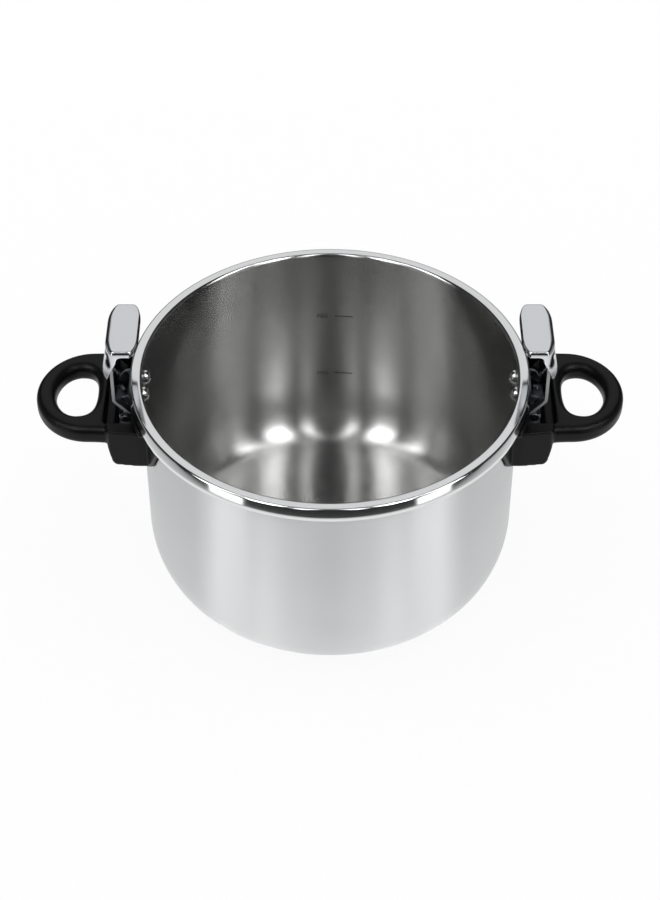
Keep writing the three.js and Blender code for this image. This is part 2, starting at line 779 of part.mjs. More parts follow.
function loopGrip() {
  const grip = new THREE.ExtrudeGeometry(loopOutline(), {
    depth: loopThickness - 2 * loopRound,
    bevelSize: loopRound,
    bevelThickness: loopRound,
    bevelOffset: -loopRound,
    bevelSegments: bendSteps,
    curveSegments: curveSteps,
  });
  return solid(grip.translate(0, 0, loopTop - loopThickness + loopRound));
}

// Block that the loop grows from, in outward distance and height.
function blockOutline() {
  const foot = blockOut - blockLean;
  const bend = foot - blockFootBend;
  return new THREE.Shape([
    point(potRadius - overrun, handleFoot),
    ...arc(bend, handleFoot + blockFootBend, blockFootBend, blockFootBend, -90, 0, bendSteps),
    point(blockOut, loopTop - loopThickness),
    point(blockOut, handleTop),
    point(potRadius - overrun, handleTop),
  ]);
}

function flangeOutline() {
  const top = rimTop - skirtDrop - seatGap;
  const half = [
    [flangeHalfWidth, top],
    [flangeHalfWidth, rimTop - flangeShoulderDrop],
    [flangeKneeHalfWidth, rimTop - flangeKneeDrop],
    [blockHalfWidth, handleFoot],
  ];
  const right = half.map(([y, z]) => point(y, z)).reverse();
  const left = half.map(([y, z]) => point(-y, z));
  return new THREE.Shape([...right, ...left]);
}

// Moulded handle: block, loop, thin flange on the wall, collar outside the skirt,
// and a stepped pocket open at the top and towards the wall.
function handle(side) {
  const far = blockOut + overrun;
  const bottom = handleFoot - overrun;
  const taper = new THREE.Shape([
    point(potRadius - overrun, -blockHalfWidth),
    point(wallOut, -blockHalfWidth),
    point(blockOut - blockEdge, -blockOuterHalfWidth),
    point(blockOut, -blockOuterHalfWidth + blockEdge),
    point(blockOut, blockOuterHalfWidth - blockEdge),
    point(blockOut - blockEdge, blockOuterHalfWidth),
    point(wallOut, blockHalfWidth),
    point(potRadius - overrun, blockHalfWidth),
  ]);
  const block = sidePrism(blockOutline(), -blockHalfWidth, blockHalfWidth)
    .intersect(planPrism(taper, handleFoot - overrun, handleTop + overrun));
  const flange = tube(potRadius, wallOut + seatGap + flangeThickness, bottom, rimTop, potSteps)
    .intersect(facePrism(flangeOutline(), 0, far));
  const collarTop = rimTop - collarTopDrop;
  const collarFoot = collarTop - collarDepth;
  const collarOut = rimOut + seatGap + collarThickness;
  const collarOutline = roundedBox(-collarHalfWidth, collarFoot, collarHalfWidth, collarTop, pocketBend);
  const collar = tube(potRadius, collarOut, collarFoot, collarTop, potSteps)
    .intersect(facePrism(collarOutline, 0, far));
  const pocket = planPrism(
    roundedBox(0, -pocketHalfWidth, wallOut + pocketReach, pocketHalfWidth, pocketBend),
    rimTop - pocketStepDrop,
    rimTop + overrun,
  );
  const pocketDeep = planPrism(
    roundedBox(0, -pocketHalfWidth, wallOut + pocketStepReach, pocketHalfWidth, pocketBend),
    footBottom - seatGap,
    rimTop - pocketStepDrop + overrun,
  );
  const screws = [-screwSpread, screwSpread].flatMap((y) => [
    rodZ(screwRadius + seatGap, wallOut + screwReach, y, bottom, footTop),
    rodZ(screwHead + seatGap, wallOut + screwReach, y, bottom, handleFoot + screwSink),
  ]);
  const body = cut(join([loopGrip(), block, flange, collar]), [
    tube(0, wallOut + seatGap, bottom, rimTop + overrun, potSteps),
    tube(0, rimOut + seatGap, rimTop - skirtDrop - seatGap, rimTop + overrun, potSteps),
    pocket,
    pocketDeep,
    ...screws,
  ]);
  return named(`${side}_handle`, geometryOf(body), phenolic);
}

// Pan-head screw from below, head in its counterbore, tip through the bracket's foot.
function handleScrew(name, y) {
  const seat = handleFoot + screwSink - seatGap;
  const low = seat - screwHeadThickness;
  const screw = solid(new THREE.LatheGeometry([
    point(0, low),
    ...arc(screwHead - screwHeadThickness / 2, seat - screwHeadThickness / 2,
      screwHeadThickness / 2, screwHeadThickness / 2, -90, 0, bendSteps),
    point(screwHead, seat),
    point(screwRadius, seat),
    point(screwRadius, footTop + screwTip),
    point(0, footTop + screwTip),
  ], smallSteps).rotateX(Math.PI / 2));
  const mesh = named(name, geometryOf(screw), zinced);
  mesh.position.set(wallOut + screwReach, y, 0);
  return mesh;
}

// Everything on one side, built facing +X. The turned side's front pieces are built at +Y.
function sideAssembly(side, front) {
  const group = new THREE.Group();
  group.add(bracket(side));
  group.add(wallRivet(`${side}_wall_rivet_front`, front * rivetAngle));
  group.add(wallRivet(`${side}_wall_rivet_rear`, -front * rivetAngle));
  group.add(handle(side));
  group.add(handleScrew(`${side}_handle_screw_front`, front * screwSpread));
  group.add(handleScrew(`${side}_handle_screw_rear`, -front * screwSpread));
  group.add(pivotPin(side));
  group.add(pinClip(side));
  group.add(clampSpring(side));
  group.add(clampHook(side));
  group.add(clampCap(side));
  group.add(capRivet(`${side}_cap_rivet_front`, front * capRivetSpread));
  group.add(capRivet(`${side}_cap_rivet_rear`, -front * capRivetSpread));
  return group;
}

const cooker = new THREE.Group();
cooker.add(potBody());
cooker.add(baseCore());
cooker.add(baseCapsule());
cooker.add(sideAssembly('right', -1));

// The other side is the same assembly turned half round.
const leftSide = sideAssembly('left', 1);
leftSide.rotation.z = Math.PI;
cooker.add(leftSide);

console.log(`least gap between spring turns: ${leastGap(springPoints()).toFixed(2)} mm`);

export default cooker;
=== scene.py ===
# Open pot of a clamp-lid pressure cooker: steel pot, sandwich base, two black handles, two lid clamps.
# Blender 4.5, metres, in the CAD model's frame: +X to the right handle, +Y to the back, +Z up.
import bmesh
import bpy
import math
from mathutils import Matrix, Vector


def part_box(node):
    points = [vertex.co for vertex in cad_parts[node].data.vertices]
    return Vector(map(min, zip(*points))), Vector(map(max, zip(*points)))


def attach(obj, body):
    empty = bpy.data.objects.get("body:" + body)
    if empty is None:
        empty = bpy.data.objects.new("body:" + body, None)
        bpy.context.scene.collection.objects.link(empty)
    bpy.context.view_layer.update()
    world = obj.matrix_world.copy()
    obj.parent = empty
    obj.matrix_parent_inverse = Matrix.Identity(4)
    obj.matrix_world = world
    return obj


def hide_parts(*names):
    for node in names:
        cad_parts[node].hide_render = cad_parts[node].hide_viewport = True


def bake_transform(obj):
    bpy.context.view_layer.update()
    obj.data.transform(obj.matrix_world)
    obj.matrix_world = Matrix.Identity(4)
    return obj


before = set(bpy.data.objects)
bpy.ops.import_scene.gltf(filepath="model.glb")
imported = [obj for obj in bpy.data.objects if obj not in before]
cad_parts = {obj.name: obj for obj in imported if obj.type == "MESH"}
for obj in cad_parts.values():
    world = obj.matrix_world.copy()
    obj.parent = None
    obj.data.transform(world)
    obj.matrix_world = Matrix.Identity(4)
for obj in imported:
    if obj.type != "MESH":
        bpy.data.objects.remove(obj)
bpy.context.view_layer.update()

MM = 0.001
CAMERA_BACK = 985 * MM
CAMERA_HEIGHT = 1010.3 * MM
CAMERA_DOWN = 42.98
CAMERA_LENS = 81.4

scene = bpy.context.scene
camera_data = bpy.data.cameras.new("camera")
camera_data.lens = CAMERA_LENS
camera = bpy.data.objects.new("camera", camera_data)
camera.location = (0, -CAMERA_BACK, CAMERA_HEIGHT)
camera.rotation_euler = (math.radians(90 - CAMERA_DOWN), 0, 0)
scene.collection.objects.link(camera)
scene.camera = camera


# Pot: one drawn sheet of 18/10 stainless steel, its mouth rolled outwards into a bead with a skirt.
# The inside is brushed round and round on a lathe, the outer wall is buffed and the rim polished.
POT_RADIUS = 120 * MM
SHEET = 1.2 * MM
CORNER_HEIGHT = 40.1 * MM
CORNER_REACH = 25.3 * MM
MOUTH_BEND = 2.5 * MM
SKIRT_DROP = 6 * MM
SKIRT_LEAN = 1.2 * MM
SKIRT_FOOT = 2.3 * MM  # height of the skirt's last part, which is upright again
SKIRT_BEND = 1.7 * MM
SKIRT_EDGE = 0.3 * MM
CREASE_RISES = (-3 * SKIRT_EDGE, -SKIRT_EDGE, SKIRT_EDGE, 3 * SKIRT_EDGE)  # close, to keep it crisp
POT_STEPS = 288
EDGE_ANGLE = math.radians(35)
INSIDE_COLOUR = "#b5b5b4"
OUTSIDE_COLOUR = "#dfe0e1"
GROOVE_WIDTH = 0.9 * MM  # real brushing is about 0.1 mm, drawn coarser so that it shows
GROOVE_LENGTH = 35 * MM
GROOVE_DEPTH = 0.05 * MM
BUFFING_WIDTH = 3.6 * MM  # drawn much coarser than real buffing, for the same reason
BUFFING_LENGTH = 70 * MM
pot_low, pot_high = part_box("pot_body")
POT_FLOOR = pot_low.z
RIM_TOP = pot_high.z
RIM_OUT = pot_high.x
WALL_OUT = POT_RADIUS + SHEET


def bend(x, z, radius, start, end, steps=6, tall=None):
    """Points of an arc in a section, angles in degrees."""
    angles = [math.radians(start + (end - start) * i / steps) for i in range(steps + 1)]
    return [(x + radius * math.cos(a), z + (tall or radius) * math.sin(a)) for a in angles]


def placed(name, vertices, faces):
    """A smooth-shaded object in the scene from points and faces."""
    mesh = bpy.data.meshes.new(name)
    mesh.from_pydata([tuple(v) for v in vertices], [], faces)
    mesh.validate()
    mesh.shade_smooth()
    mesh.set_sharp_from_angle(angle=EDGE_ANGLE)
    piece = bpy.data.objects.new(name, mesh)
    scene.collection.objects.link(piece)
    return piece


def turned(name, section, steps=POT_STEPS):
    """A surface of revolution about Z from points of radius and height. Points on the axis are poles."""
    vertices, rings, faces = [], [], []
    for radius, height in section:
        count = steps if radius > MM * MM else 1
        rings.append((len(vertices), count))
        turns = [2 * math.pi * k / steps for k in range(count)]
        vertices += [(radius * math.cos(t), radius * math.sin(t), height) for t in turns]
    for (low, low_count), (high, high_count) in zip(rings, rings[1:]):
        for k in range(steps):
            after = (k + 1) % steps
            lower = [low + k, low + after] if low_count > 1 else [low]
            upper = [high + after, high + k] if high_count > 1 else [high]
            if len(lower) + len(upper) > 2:
                faces.append(lower + upper)
    return placed(name, vertices, faces)


def linear(code):
    """sRGB hex to linear red, green, blue and alpha."""
    parts = [int(code[i:i + 2], 16) / 255 for i in (1, 3, 5)]
    return (*[p / 12.92 if p <= 0.04045 else ((p + 0.055) / 1.055) ** 2.4 for p in parts], 1)


def add(tree, kind, inputs=None, **settings):
    """Adds a node to a tree. Inputs are links or values by socket name or number."""
    node = tree.nodes.new(kind)
    for key, value in settings.items():
        setattr(node, key, value)
    for key, value in (inputs or {}).items():
        if isinstance(value, bpy.types.NodeSocket):
            tree.links.new(value, node.inputs[key])
        else:
            node.inputs[key].default_value = value
    return node


def finish(name, colour, roughness, metallic=1.0, **sockets):
    """A new material with one Principled shader. Returns the material, its tree and the shader."""
    material = bpy.data.materials.new(name)
    material.use_nodes = True
    shader = material.node_tree.nodes["Principled BSDF"]
    values = {"Base Color": linear(colour), "Roughness": roughness, "Metallic": metallic}
    values.update({key.replace("_", " "): value for key, value in sockets.items()})
    for key, value in values.items():
        shader.inputs[key].default_value = value
    material.diffuse_color = linear(colour)
    return material, material.node_tree, shader


def round_grain(tree, width, length):
    """Noise drawn out into rings about Z, as a lathe's brush leaves them: 0 to 1."""
    place = add(tree, "ShaderNodeTexCoord").outputs["Object"]
    split = add(tree, "ShaderNodeSeparateXYZ", {"Vector": place})
    flat = add(tree, "ShaderNodeVectorMath", {0: place, 1: (1, 1, 0)}, operation="MULTIPLY")
    radius = add(tree, "ShaderNodeVectorMath", {0: flat.outputs[0]}, operation="LENGTH").outputs["Value"]
    across = add(tree, "ShaderNodeMath", {0: radius, 1: split.outputs["Z"]}, operation="ADD")
    rings = add(tree, "ShaderNodeMath", {0: across.outputs[0], 1: 1 / width}, operation="MULTIPLY")
    x = add(tree, "ShaderNodeMath", {0: split.outputs["X"], 1: 1 / length}, operation="MULTIPLY")
    y = add(tree, "ShaderNodeMath", {0: split.outputs["Y"], 1: 1 / length}, operation="MULTIPLY")
    spot = add(tree, "ShaderNodeCombineXYZ", {0: x.outputs[0], 1: y.outputs[0], 2: rings.outputs[0]})
    noise = add(tree, "ShaderNodeTexNoise", {"Vector": spot.outputs[0], "Scale": 1.0, "Detail": 3.0})
    return noise.outputs["Fac"]


# Brushed 18/10 stainless: the round grooves draw every highlight out into upright streaks.
brushed_steel, tree, shader = finish(
    "brushed_stainless_steel", INSIDE_COLOUR, roughness=0.3, Anisotropic=1.0, Anisotropic_Rotation=0.25,
)
grain = round_grain(tree, GROOVE_WIDTH, GROOVE_LENGTH)
gloss = add(tree, "ShaderNodeMapRange", {"Value": grain, "To Min": 0.2, "To Max": 0.29})
tree.links.new(gloss.outputs[0], shader.inputs["Roughness"])
relief = add(tree, "ShaderNodeBump", {"Height": grain, "Strength": 0.12, "Distance": GROOVE_DEPTH})
tree.links.new(relief.outputs["Normal"], shader.inputs["Normal"])
round_z = add(tree, "ShaderNodeTangent", direction_type="RADIAL", axis="Z")
tree.links.new(round_z.outputs[0], shader.inputs["Tangent"])

# Polished 18/10 stainless, buffed round on a wheel: the rim is a clear mirror, and on the wall the
# buffing leaves an upright smear, so that lamps show as soft upright bands.
outside_finishes = []
for name, sharpest, softest, smear in (
    ("polished_stainless_steel", 0.09, 0.14, 0.7),
    ("buffed_stainless_steel", 0.29, 0.35, 1.0),
):
    steel, tree, shader = finish(
        name, OUTSIDE_COLOUR, softest, Anisotropic=smear, Anisotropic_Rotation=0.25,
    )
    grain = round_grain(tree, BUFFING_WIDTH, BUFFING_LENGTH)
    gloss = add(tree, "ShaderNodeMapRange", {"Value": grain, "To Min": sharpest, "To Max": softest})
    tree.links.new(gloss.outputs[0], shader.inputs["Roughness"])
    round_z = add(tree, "ShaderNodeTangent", direction_type="RADIAL", axis="Z")
    tree.links.new(round_z.outputs[0], shader.inputs["Tangent"])
    outside_finishes.append(steel)
polished_steel, buffed_steel = outside_finishes

flat_end = WALL_OUT - CORNER_REACH
mouth = POT_RADIUS + MOUTH_BEND
brow = RIM_OUT - SKIRT_LEAN - SKIRT_BEND
crease = RIM_TOP - SKIRT_DROP
skirt_end = crease - SKIRT_FOOT + SKIRT_EDGE
lean = math.atan2(SKIRT_LEAN, SKIRT_DROP - SKIRT_BEND)
brow_end = math.degrees(lean)
corner_top = POT_FLOOR + CORNER_HEIGHT
outer_line = [
    (0, POT_FLOOR),
    (flat_end / 2, POT_FLOOR),
    *bend(flat_end, corner_top, CORNER_REACH, -90, 0, 18, CORNER_HEIGHT),
    (WALL_OUT, (corner_top + RIM_TOP) / 2),
    *bend(mouth, RIM_TOP - MOUTH_BEND, MOUTH_BEND - SHEET, 180, 90),
    *bend(brow, RIM_TOP - SKIRT_BEND, SKIRT_BEND - SHEET, 90, brow_end),
    (RIM_OUT - SHEET, crease),
    *bend(RIM_OUT - SHEET / 2, skirt_end, SHEET / 2, 180, 360, 6, SKIRT_EDGE),
    *[(RIM_OUT - max(rise, 0) * math.tan(lean), crease + rise) for rise in CREASE_RISES],
    *bend(brow, RIM_TOP - SKIRT_BEND, SKIRT_BEND, brow_end, 90, 8),
]
inner_line = [
    *bend(mouth, RIM_TOP - MOUTH_BEND, MOUTH_BEND, 90, 180, 8),
    (POT_RADIUS, (corner_top + RIM_TOP) / 2),
    *bend(flat_end, corner_top, CORNER_REACH - SHEET, 0, -90, 18, CORNER_HEIGHT - SHEET),
    (flat_end / 2, POT_FLOOR + SHEET),
    (0, POT_FLOOR + SHEET),
]
pot = turned("pot_shell", outer_line + inner_line)
for steel in (polished_steel, brushed_steel, buffed_steel):
    pot.data.materials.append(steel)
brushed_out = POT_RADIUS + MOUTH_BEND / 4
buffed_top = RIM_TOP - 2 * SKIRT_DROP
for face in pot.data.polygons:
    inner = face.index >= len(outer_line) * POT_STEPS
    brushed = inner and math.hypot(face.center.x, face.center.y) < brushed_out
    buffed = not inner and face.center.z < buffed_top
    face.material_index = 1 if brushed else 2 if buffed else 0
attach(pot, "pot")
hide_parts("pot_body")


# Level marks: MAX and MIN with a short line each, etched dark into the back of the inside wall.
MARK_DROPS = {"MAX": 53.5 * MM, "MIN": 105.7 * MM}
MARK_HEIGHT = 3.6 * MM
MARK_SPAN = (-9 * MM, -1.4 * MM)
TICK_SPAN = (3.4 * MM, 16 * MM)
TICK_WIDTH = 0.8 * MM
MARK_DEPTH = 0.06 * MM
TICK_STEPS = 8
ETCH_COLOUR = "#34322f"
ETCH_SPOTS = 1.5 * MM

# Electro-etched steel: a dark matt mark, a little uneven, that lies dull in the brushed wall.
etched, tree, shader = finish("etched_steel", ETCH_COLOUR, roughness=0.6, metallic=0.4)
worn = add(tree, "ShaderNodeTexNoise", {"Scale": 1 / ETCH_SPOTS, "Detail": 2.0})
gloss = add(tree, "ShaderNodeMapRange", {"Value": worn.outputs["Fac"], "To Min": 0.45, "To Max": 0.75})
tree.links.new(gloss.outputs[0], shader.inputs["Roughness"])


def lettering(text, left, right, height):
    """Outline letters as a flat mesh, filling a width and a height from the baseline."""
    curve = bpy.data.curves.new(text, "FONT")
    curve.body = text
    curve.extrude = 1
    letters = bpy.data.objects.new(text, curve)
    scene.collection.objects.link(letters)
    bpy.context.view_layer.update()
    mesh = bpy.data.meshes.new_from_object(letters)
    bpy.data.objects.remove(letters)
    low = [min(v.co[k] for v in mesh.vertices) for k in range(3)]
    high = [max(v.co[k] for v in mesh.vertices) for k in range(3)]
    for v in mesh.vertices:
        share = [(v.co[k] - low[k]) / (high[k] - low[k]) for k in range(3)]
        v.co = (left + share[0] * (right - left), share[1] * height, share[2])
    return [v.co.copy() for v in mesh.vertices], [tuple(f.vertices) for f in mesh.polygons]


def on_back_wall(points, height):
    """Flat points wrapped onto the back of the inside wall. The third number goes from its face inwards."""
    wrapped = []
    for x, z, depth in points:
        radius = POT_RADIUS - depth * MARK_DEPTH
        wrapped.append((radius * math.sin(x / POT_RADIUS), radius * math.cos(x / POT_RADIUS), height + z))
    return wrapped


for word, drop in MARK_DROPS.items():
    points, faces = lettering(word, *MARK_SPAN, MARK_HEIGHT)
    start = len(points)
    middle = MARK_HEIGHT / 2
    for k in range(TICK_STEPS + 1):
        x = TICK_SPAN[0] + (TICK_SPAN[1] - TICK_SPAN[0]) * k / TICK_STEPS
        low, high = middle - TICK_WIDTH / 2, middle + TICK_WIDTH / 2
        points += [(x, low, 0), (x, high, 0), (x, high, 1), (x, low, 1)]
    for k in range(TICK_STEPS):
        here = start + 4 * k
        faces += [(here + j, here + (j + 1) % 4, here + 4 + (j + 1) % 4, here + 4 + j) for j in range(4)]
    last = start + 4 * TICK_STEPS
    faces += [(start, start + 1, start + 2, start + 3), (last, last + 3, last + 2, last + 1)]
    mark = placed("level_mark_" + word.lower(), on_back_wall(points, RIM_TOP - drop - middle), faces)
    mark.data.materials.append(etched)
    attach(mark, "pot")


# Sandwich base: an aluminium disc under the pot, closed in by a pressed steel capsule that is
# brazed on. The capsule is buffed with the wall and stands on the table.
CAPSULE_BEND = 1.6 * MM
CAPSULE_WALL = 0.6 * MM
ALUMINIUM_COLOUR = "#c3c4c5"
ROLLING_LENGTH = 40 * MM
ROLLING_WIDTH = 0.8 * MM
capsule_low, capsule_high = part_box("base_capsule")
capsule_out = capsule_high.x
turn_in = capsule_out - CAPSULE_BEND
capsule = turned("capsule", [
    (0, 0),
    (turn_in / 2, 0),
    *bend(turn_in, CAPSULE_BEND, CAPSULE_BEND, -90, 0, 8),
    (capsule_out, capsule_high.z),
    (capsule_out - CAPSULE_WALL, capsule_high.z),
    *bend(turn_in, CAPSULE_BEND, CAPSULE_BEND - CAPSULE_WALL, 0, -90, 6),
    (0, CAPSULE_WALL),
])
capsule.data.materials.append(buffed_steel)
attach(capsule, "pot")
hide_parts("base_capsule")

# Rolled aluminium, left as it comes from the mill: a grey sheen with faint rolling lines.
mill_aluminium, tree, shader = finish("mill_aluminium", ALUMINIUM_COLOUR, roughness=0.45)
place = add(tree, "ShaderNodeTexCoord").outputs["Object"]
lines = add(tree, "ShaderNodeMapping",
            {"Vector": place, "Scale": (1 / ROLLING_LENGTH, 1 / ROLLING_WIDTH, 1)})
rolling = add(tree, "ShaderNodeTexNoise", {"Vector": lines.outputs[0], "Scale": 1.0})
gloss = add(tree, "ShaderNodeMapRange", {"Value": rolling.outputs["Fac"], "To Min": 0.35, "To Max": 0.55})
tree.links.new(gloss.outputs[0], shader.inputs["Roughness"])
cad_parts["base_core"].data.materials.clear()
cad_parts["base_core"].data.materials.append(mill_aluminium)


# Wall rivets: two stainless rivets on each side, their polished domes inside the pot. They hold
# the bracket that carries handle and clamp.
RIVET_HEAD = 5 * MM
RIVET_DOME = 4.2 * MM
RIVET_SHANK = 2.4 * MM
RIVET_TAIL = 3.4 * MM
RIVET_TAIL_HEIGHT = 1.2 * MM
RIVET_LENGTH = 3.8 * MM
RIVET_SPREAD = 8.3 * MM
RIVET_DROP = 13 * MM
SEAT_GAP = 0.3 * MM
ROUND_STEPS = 40
RIVET_COLOUR = "#cfcfcf"
RIVET_DENTS = 2 * MM

# Stainless rivets, polished after heading: one bright spot on each dome, broken by small dents.
rivet_steel, tree, shader = finish("polished_rivet_steel", RIVET_COLOUR, roughness=0.16)
dents = add(tree, "ShaderNodeTexNoise", {"Scale": 1 / RIVET_DENTS, "Detail": 2.0})
gloss = add(tree, "ShaderNodeMapRange", {"Value": dents.outputs["Fac"], "To Min": 0.1, "To Max": 0.22})
tree.links.new(gloss.outputs[0], shader.inputs["Roughness"])
rivet_angle = math.asin(RIVET_SPREAD / POT_RADIUS)
outwards = Matrix.Rotation(math.pi / 2, 4, "Y")
for side, facing in (("right", 0), ("left", math.pi)):
    for place_name, step in (("front", -1), ("rear", 1)):
        along_side = step if side == "right" else -step
        rivet = turned(f"{side}_rivet_{place_name}", [
            *bend(0, -SEAT_GAP, RIVET_HEAD, -90, 0, 12, RIVET_DOME),
            (RIVET_SHANK, -SEAT_GAP),
            (RIVET_SHANK, RIVET_LENGTH),
            *bend(0, RIVET_LENGTH, RIVET_TAIL, 0, 90, 8, RIVET_TAIL_HEIGHT),
        ], ROUND_STEPS)
        spin = Matrix.Rotation(facing + along_side * rivet_angle, 4, "Z")
        rivet.data.transform(spin @ Matrix.Translation((POT_RADIUS, 0, RIM_TOP - RIVET_DROP)) @ outwards)
        rivet.data.materials.append(rivet_steel)
        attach(rivet, "pot")
        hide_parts(f"{side}_wall_rivet_{place_name}")


# Brackets, pins' clips and handle screws: pressed or turned steel, zinc plated, mostly hidden in
# the handles' pockets. They keep the CAD shapes.
# Both zinc greys are darkened as painted shade for the pocket.
ZINC_SHADED_DARK = "#63666a"
ZINC_SHADED_LIGHT = "#85888b"
ZINC_CLOUDS = 3 * MM

# Zinc plate on steel, its grey darkened as painted shade for the dark pocket, with a cloudy tone that
# differs at random.
zinced_steel, tree, shader = finish("zinc_with_painted_pocket_shade", ZINC_SHADED_DARK, roughness=0.35)
cloud = add(tree, "ShaderNodeTexNoise", {"Scale": 1 / ZINC_CLOUDS, "Detail": 4.0})
gloss = add(tree, "ShaderNodeMapRange", {"Value": cloud.outputs["Fac"], "To Min": 0.3, "To Max": 0.55})
tree.links.new(gloss.outputs[0], shader.inputs["Roughness"])
tint = add(tree, "ShaderNodeMix", {0: cloud.outputs["Fac"], 6: linear(ZINC_SHADED_DARK), 7: linear(ZINC_SHADED_LIGHT)},
           data_type="RGBA")
tree.links.new(tint.outputs[2], shader.inputs["Base Color"])
for side in ("left", "right"):
    for part in ("bracket", "handle_screw_front", "handle_screw_rear", "pin_clip"):
        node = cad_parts[f"{side}_{part}"]
        node.data.materials.clear()
        node.data.materials.append(zinced_steel)


# Handles: compression-moulded black phenolic. Each has a block with a pocket for the clamp, a
# thin flange that hugs the wall, a collar outside the skirt, and the finger loop.
BLOCK_HALF = 44 * MM
BLOCK_OUTER_HALF = 41.7 * MM
BLOCK_OUT = WALL_OUT + 19.8 * MM
BLOCK_LEAN = 2.2 * MM
BLOCK_EDGE = 1.5 * MM
BLOCK_FOOT_BEND = 4 * MM
HANDLE_TOP = RIM_TOP - 15.5 * MM
HANDLE_FOOT = RIM_TOP - 43.5 * MM
LOOP_TOP = HANDLE_TOP - 1 * MM
LOOP_THICKNESS = 13.3 * MM
LOOP_ROOT_HALF = 39.3 * MM
LOOP_END = WALL_OUT + 67.8 * MM
LOOP_HALF = 38.5 * MM
LOOP_NOSE = 35 * MM
LOOP_ROUND = 4.5 * MM
LOOP_ROOT_BEND = 8 * MM
HOLE_ROUND = 5.5 * MM
HOLE_NEAR = WALL_OUT + 28.4 * MM
HOLE_FAR = WALL_OUT + 55.1 * MM
HOLE_WIDEST = WALL_OUT + 40.3 * MM
HOLE_HALF = 22.4 * MM
HOLE_SHARES = (0.75, 0.65, 0.55, 0.5)  # fullness of the hole's near and far side
FLANGE_THICKNESS = 2 * MM
FLANGE_POINTS = ((59 * MM, 6.3 * MM), (59 * MM, 20.5 * MM), (49 * MM, 38.5 * MM), (44 * MM, 43.5 * MM))
COLLAR_HALF = 53 * MM
COLLAR_THICKNESS = 1.1 * MM
COLLAR_DROP = 6 * MM
COLLAR_DEPTH = 6 * MM
POCKET_HALF = 32.9 * MM
POCKET_OUT = WALL_OUT + 22.4 * MM
POCKET_STEP_OUT = WALL_OUT + 15.4 * MM
POCKET_STEP = RIM_TOP - 24 * MM
POCKET_FLOOR = RIM_TOP - 36.6 * MM
POCKET_BEND = 3 * MM
SCREW_SPREAD = 8 * MM
SCREW_X = WALL_OUT + 9.5 * MM
SCREW_HEAD = 3.9 * MM
SCREW_SINK = 3.2 * MM
OVERRUN = 6 * MM
LOOP_STEPS = 144
HOLE_STEPS = 24
NOSE_STEPS = 30
ROOT_STEPS = 12
ROUNDING_STEPS = 8
MOULD_VOXEL = 0.7 * MM
MOULD_SMOOTHING = 5
PHENOLIC_COLOUR = "#0a0a0b"
PEEL_WIDTH = 0.9 * MM
PEEL_DEPTH = 0.05 * MM
HAZE_WIDTH = 14 * MM


def slab(name, outline, low, high, axes):
    """A prism: the outline lies in the first two axes and is drawn out along the third."""
    order = [axes.index(a) for a in "xyz"]
    count = len(outline)
    points = [(*p, low) for p in outline] + [(*p, high) for p in outline]
    faces = [tuple(range(count)), tuple(range(2 * count - 1, count - 1, -1))]
    faces += [(k, (k + 1) % count, count + (k + 1) % count, count + k) for k in range(count)]
    return closed(name, [tuple(p[i] for i in order) for p in points], faces)


def closed(name, points, faces):
    """A closed solid with its faces turned outwards."""
    piece = placed(name, points, faces)
    shape = bmesh.new()
    shape.from_mesh(piece.data)
    bmesh.ops.remove_doubles(shape, verts=shape.verts, dist=MM * MM)
    bmesh.ops.recalc_face_normals(shape, faces=shape.faces)
    if shape.calc_volume(signed=True) < 0:
        bmesh.ops.reverse_faces(shape, faces=shape.faces)
    shape.to_mesh(piece.data)
    shape.free()
    return piece


def plate(x0, y0, x1, y1, near, far, steps=6):
    """Rectangle with elliptic corners, given by their reach in x and y at x0, the near side, and at x1."""
    return [
        *bend(x1 - far[0], y0 + far[1], far[0], -90, 0, steps, far[1]),
        *bend(x1 - far[0], y1 - far[1], far[0], 0, 90, steps, far[1]),
        *bend(x0 + near[0], y1 - near[1], near[0], 90, 180, steps, near[1]),
        *bend(x0 + near[0], y0 + near[1], near[0], 180, 270, steps, near[1]),
    ]


def rounded(x0, y0, x1, y1, radius):
    """Rectangle with round corners."""
    return plate(x0, y0, x1, y1, (radius, radius), (radius, radius))


def barrel(name, radius, low, high, x=0, y=0, steps=POT_STEPS):
    """Solid cylinder along Z."""
    piece = turned(name, [(0, low), (radius, low), (radius, high), (0, high)], steps)
    piece.data.transform(Matrix.Translation((x, y, 0)))
    return closed_again(piece)


def closed_again(piece):
    """A turned piece as a closed solid."""
    points = [v.co.copy() for v in piece.data.vertices]
    faces = [tuple(f.vertices) for f in piece.data.polygons]
    name = piece.name
    bpy.data.objects.remove(piece)
    return closed(name, points, faces)


def settle(piece):
    """Makes a piece's modifiers part of its mesh."""
    bpy.context.view_layer.update()
    shape = bpy.data.meshes.new_from_object(piece.evaluated_get(bpy.context.evaluated_depsgraph_get()))
    piece.modifiers.clear()
    piece.data = shape
    return piece


def combine(piece, tools, operation):
    """Cuts the tools away from a piece, or keeps what it shares with them. The tools stay."""
    for tool in tools:
        step = piece.modifiers.new(operation, "BOOLEAN")
        step.object = tool
        step.operation = operation
        step.solver = "EXACT"
        settle(piece)
    return piece


def joined(name, pieces):
    """One object with the meshes of several, which are removed."""
    shape = bmesh.new()
    for piece in pieces:
        shape.from_mesh(piece.data)
        bpy.data.objects.remove(piece)
    piece = placed(name, [], [])
    shape.to_mesh(piece.data)
    shape.free()
    return piece


def bezier(points, steps):
    """Points of a cubic curve, its end left out."""
    line = []
    for k in range(steps):
        t = k / steps
        weights = ((1 - t) ** 3, 3 * t * (1 - t) ** 2, 3 * t * t * (1 - t), t ** 3)
        line.append(tuple(sum(w * p[i] for w, p in zip(weights, points)) for i in range(2)))
    return line


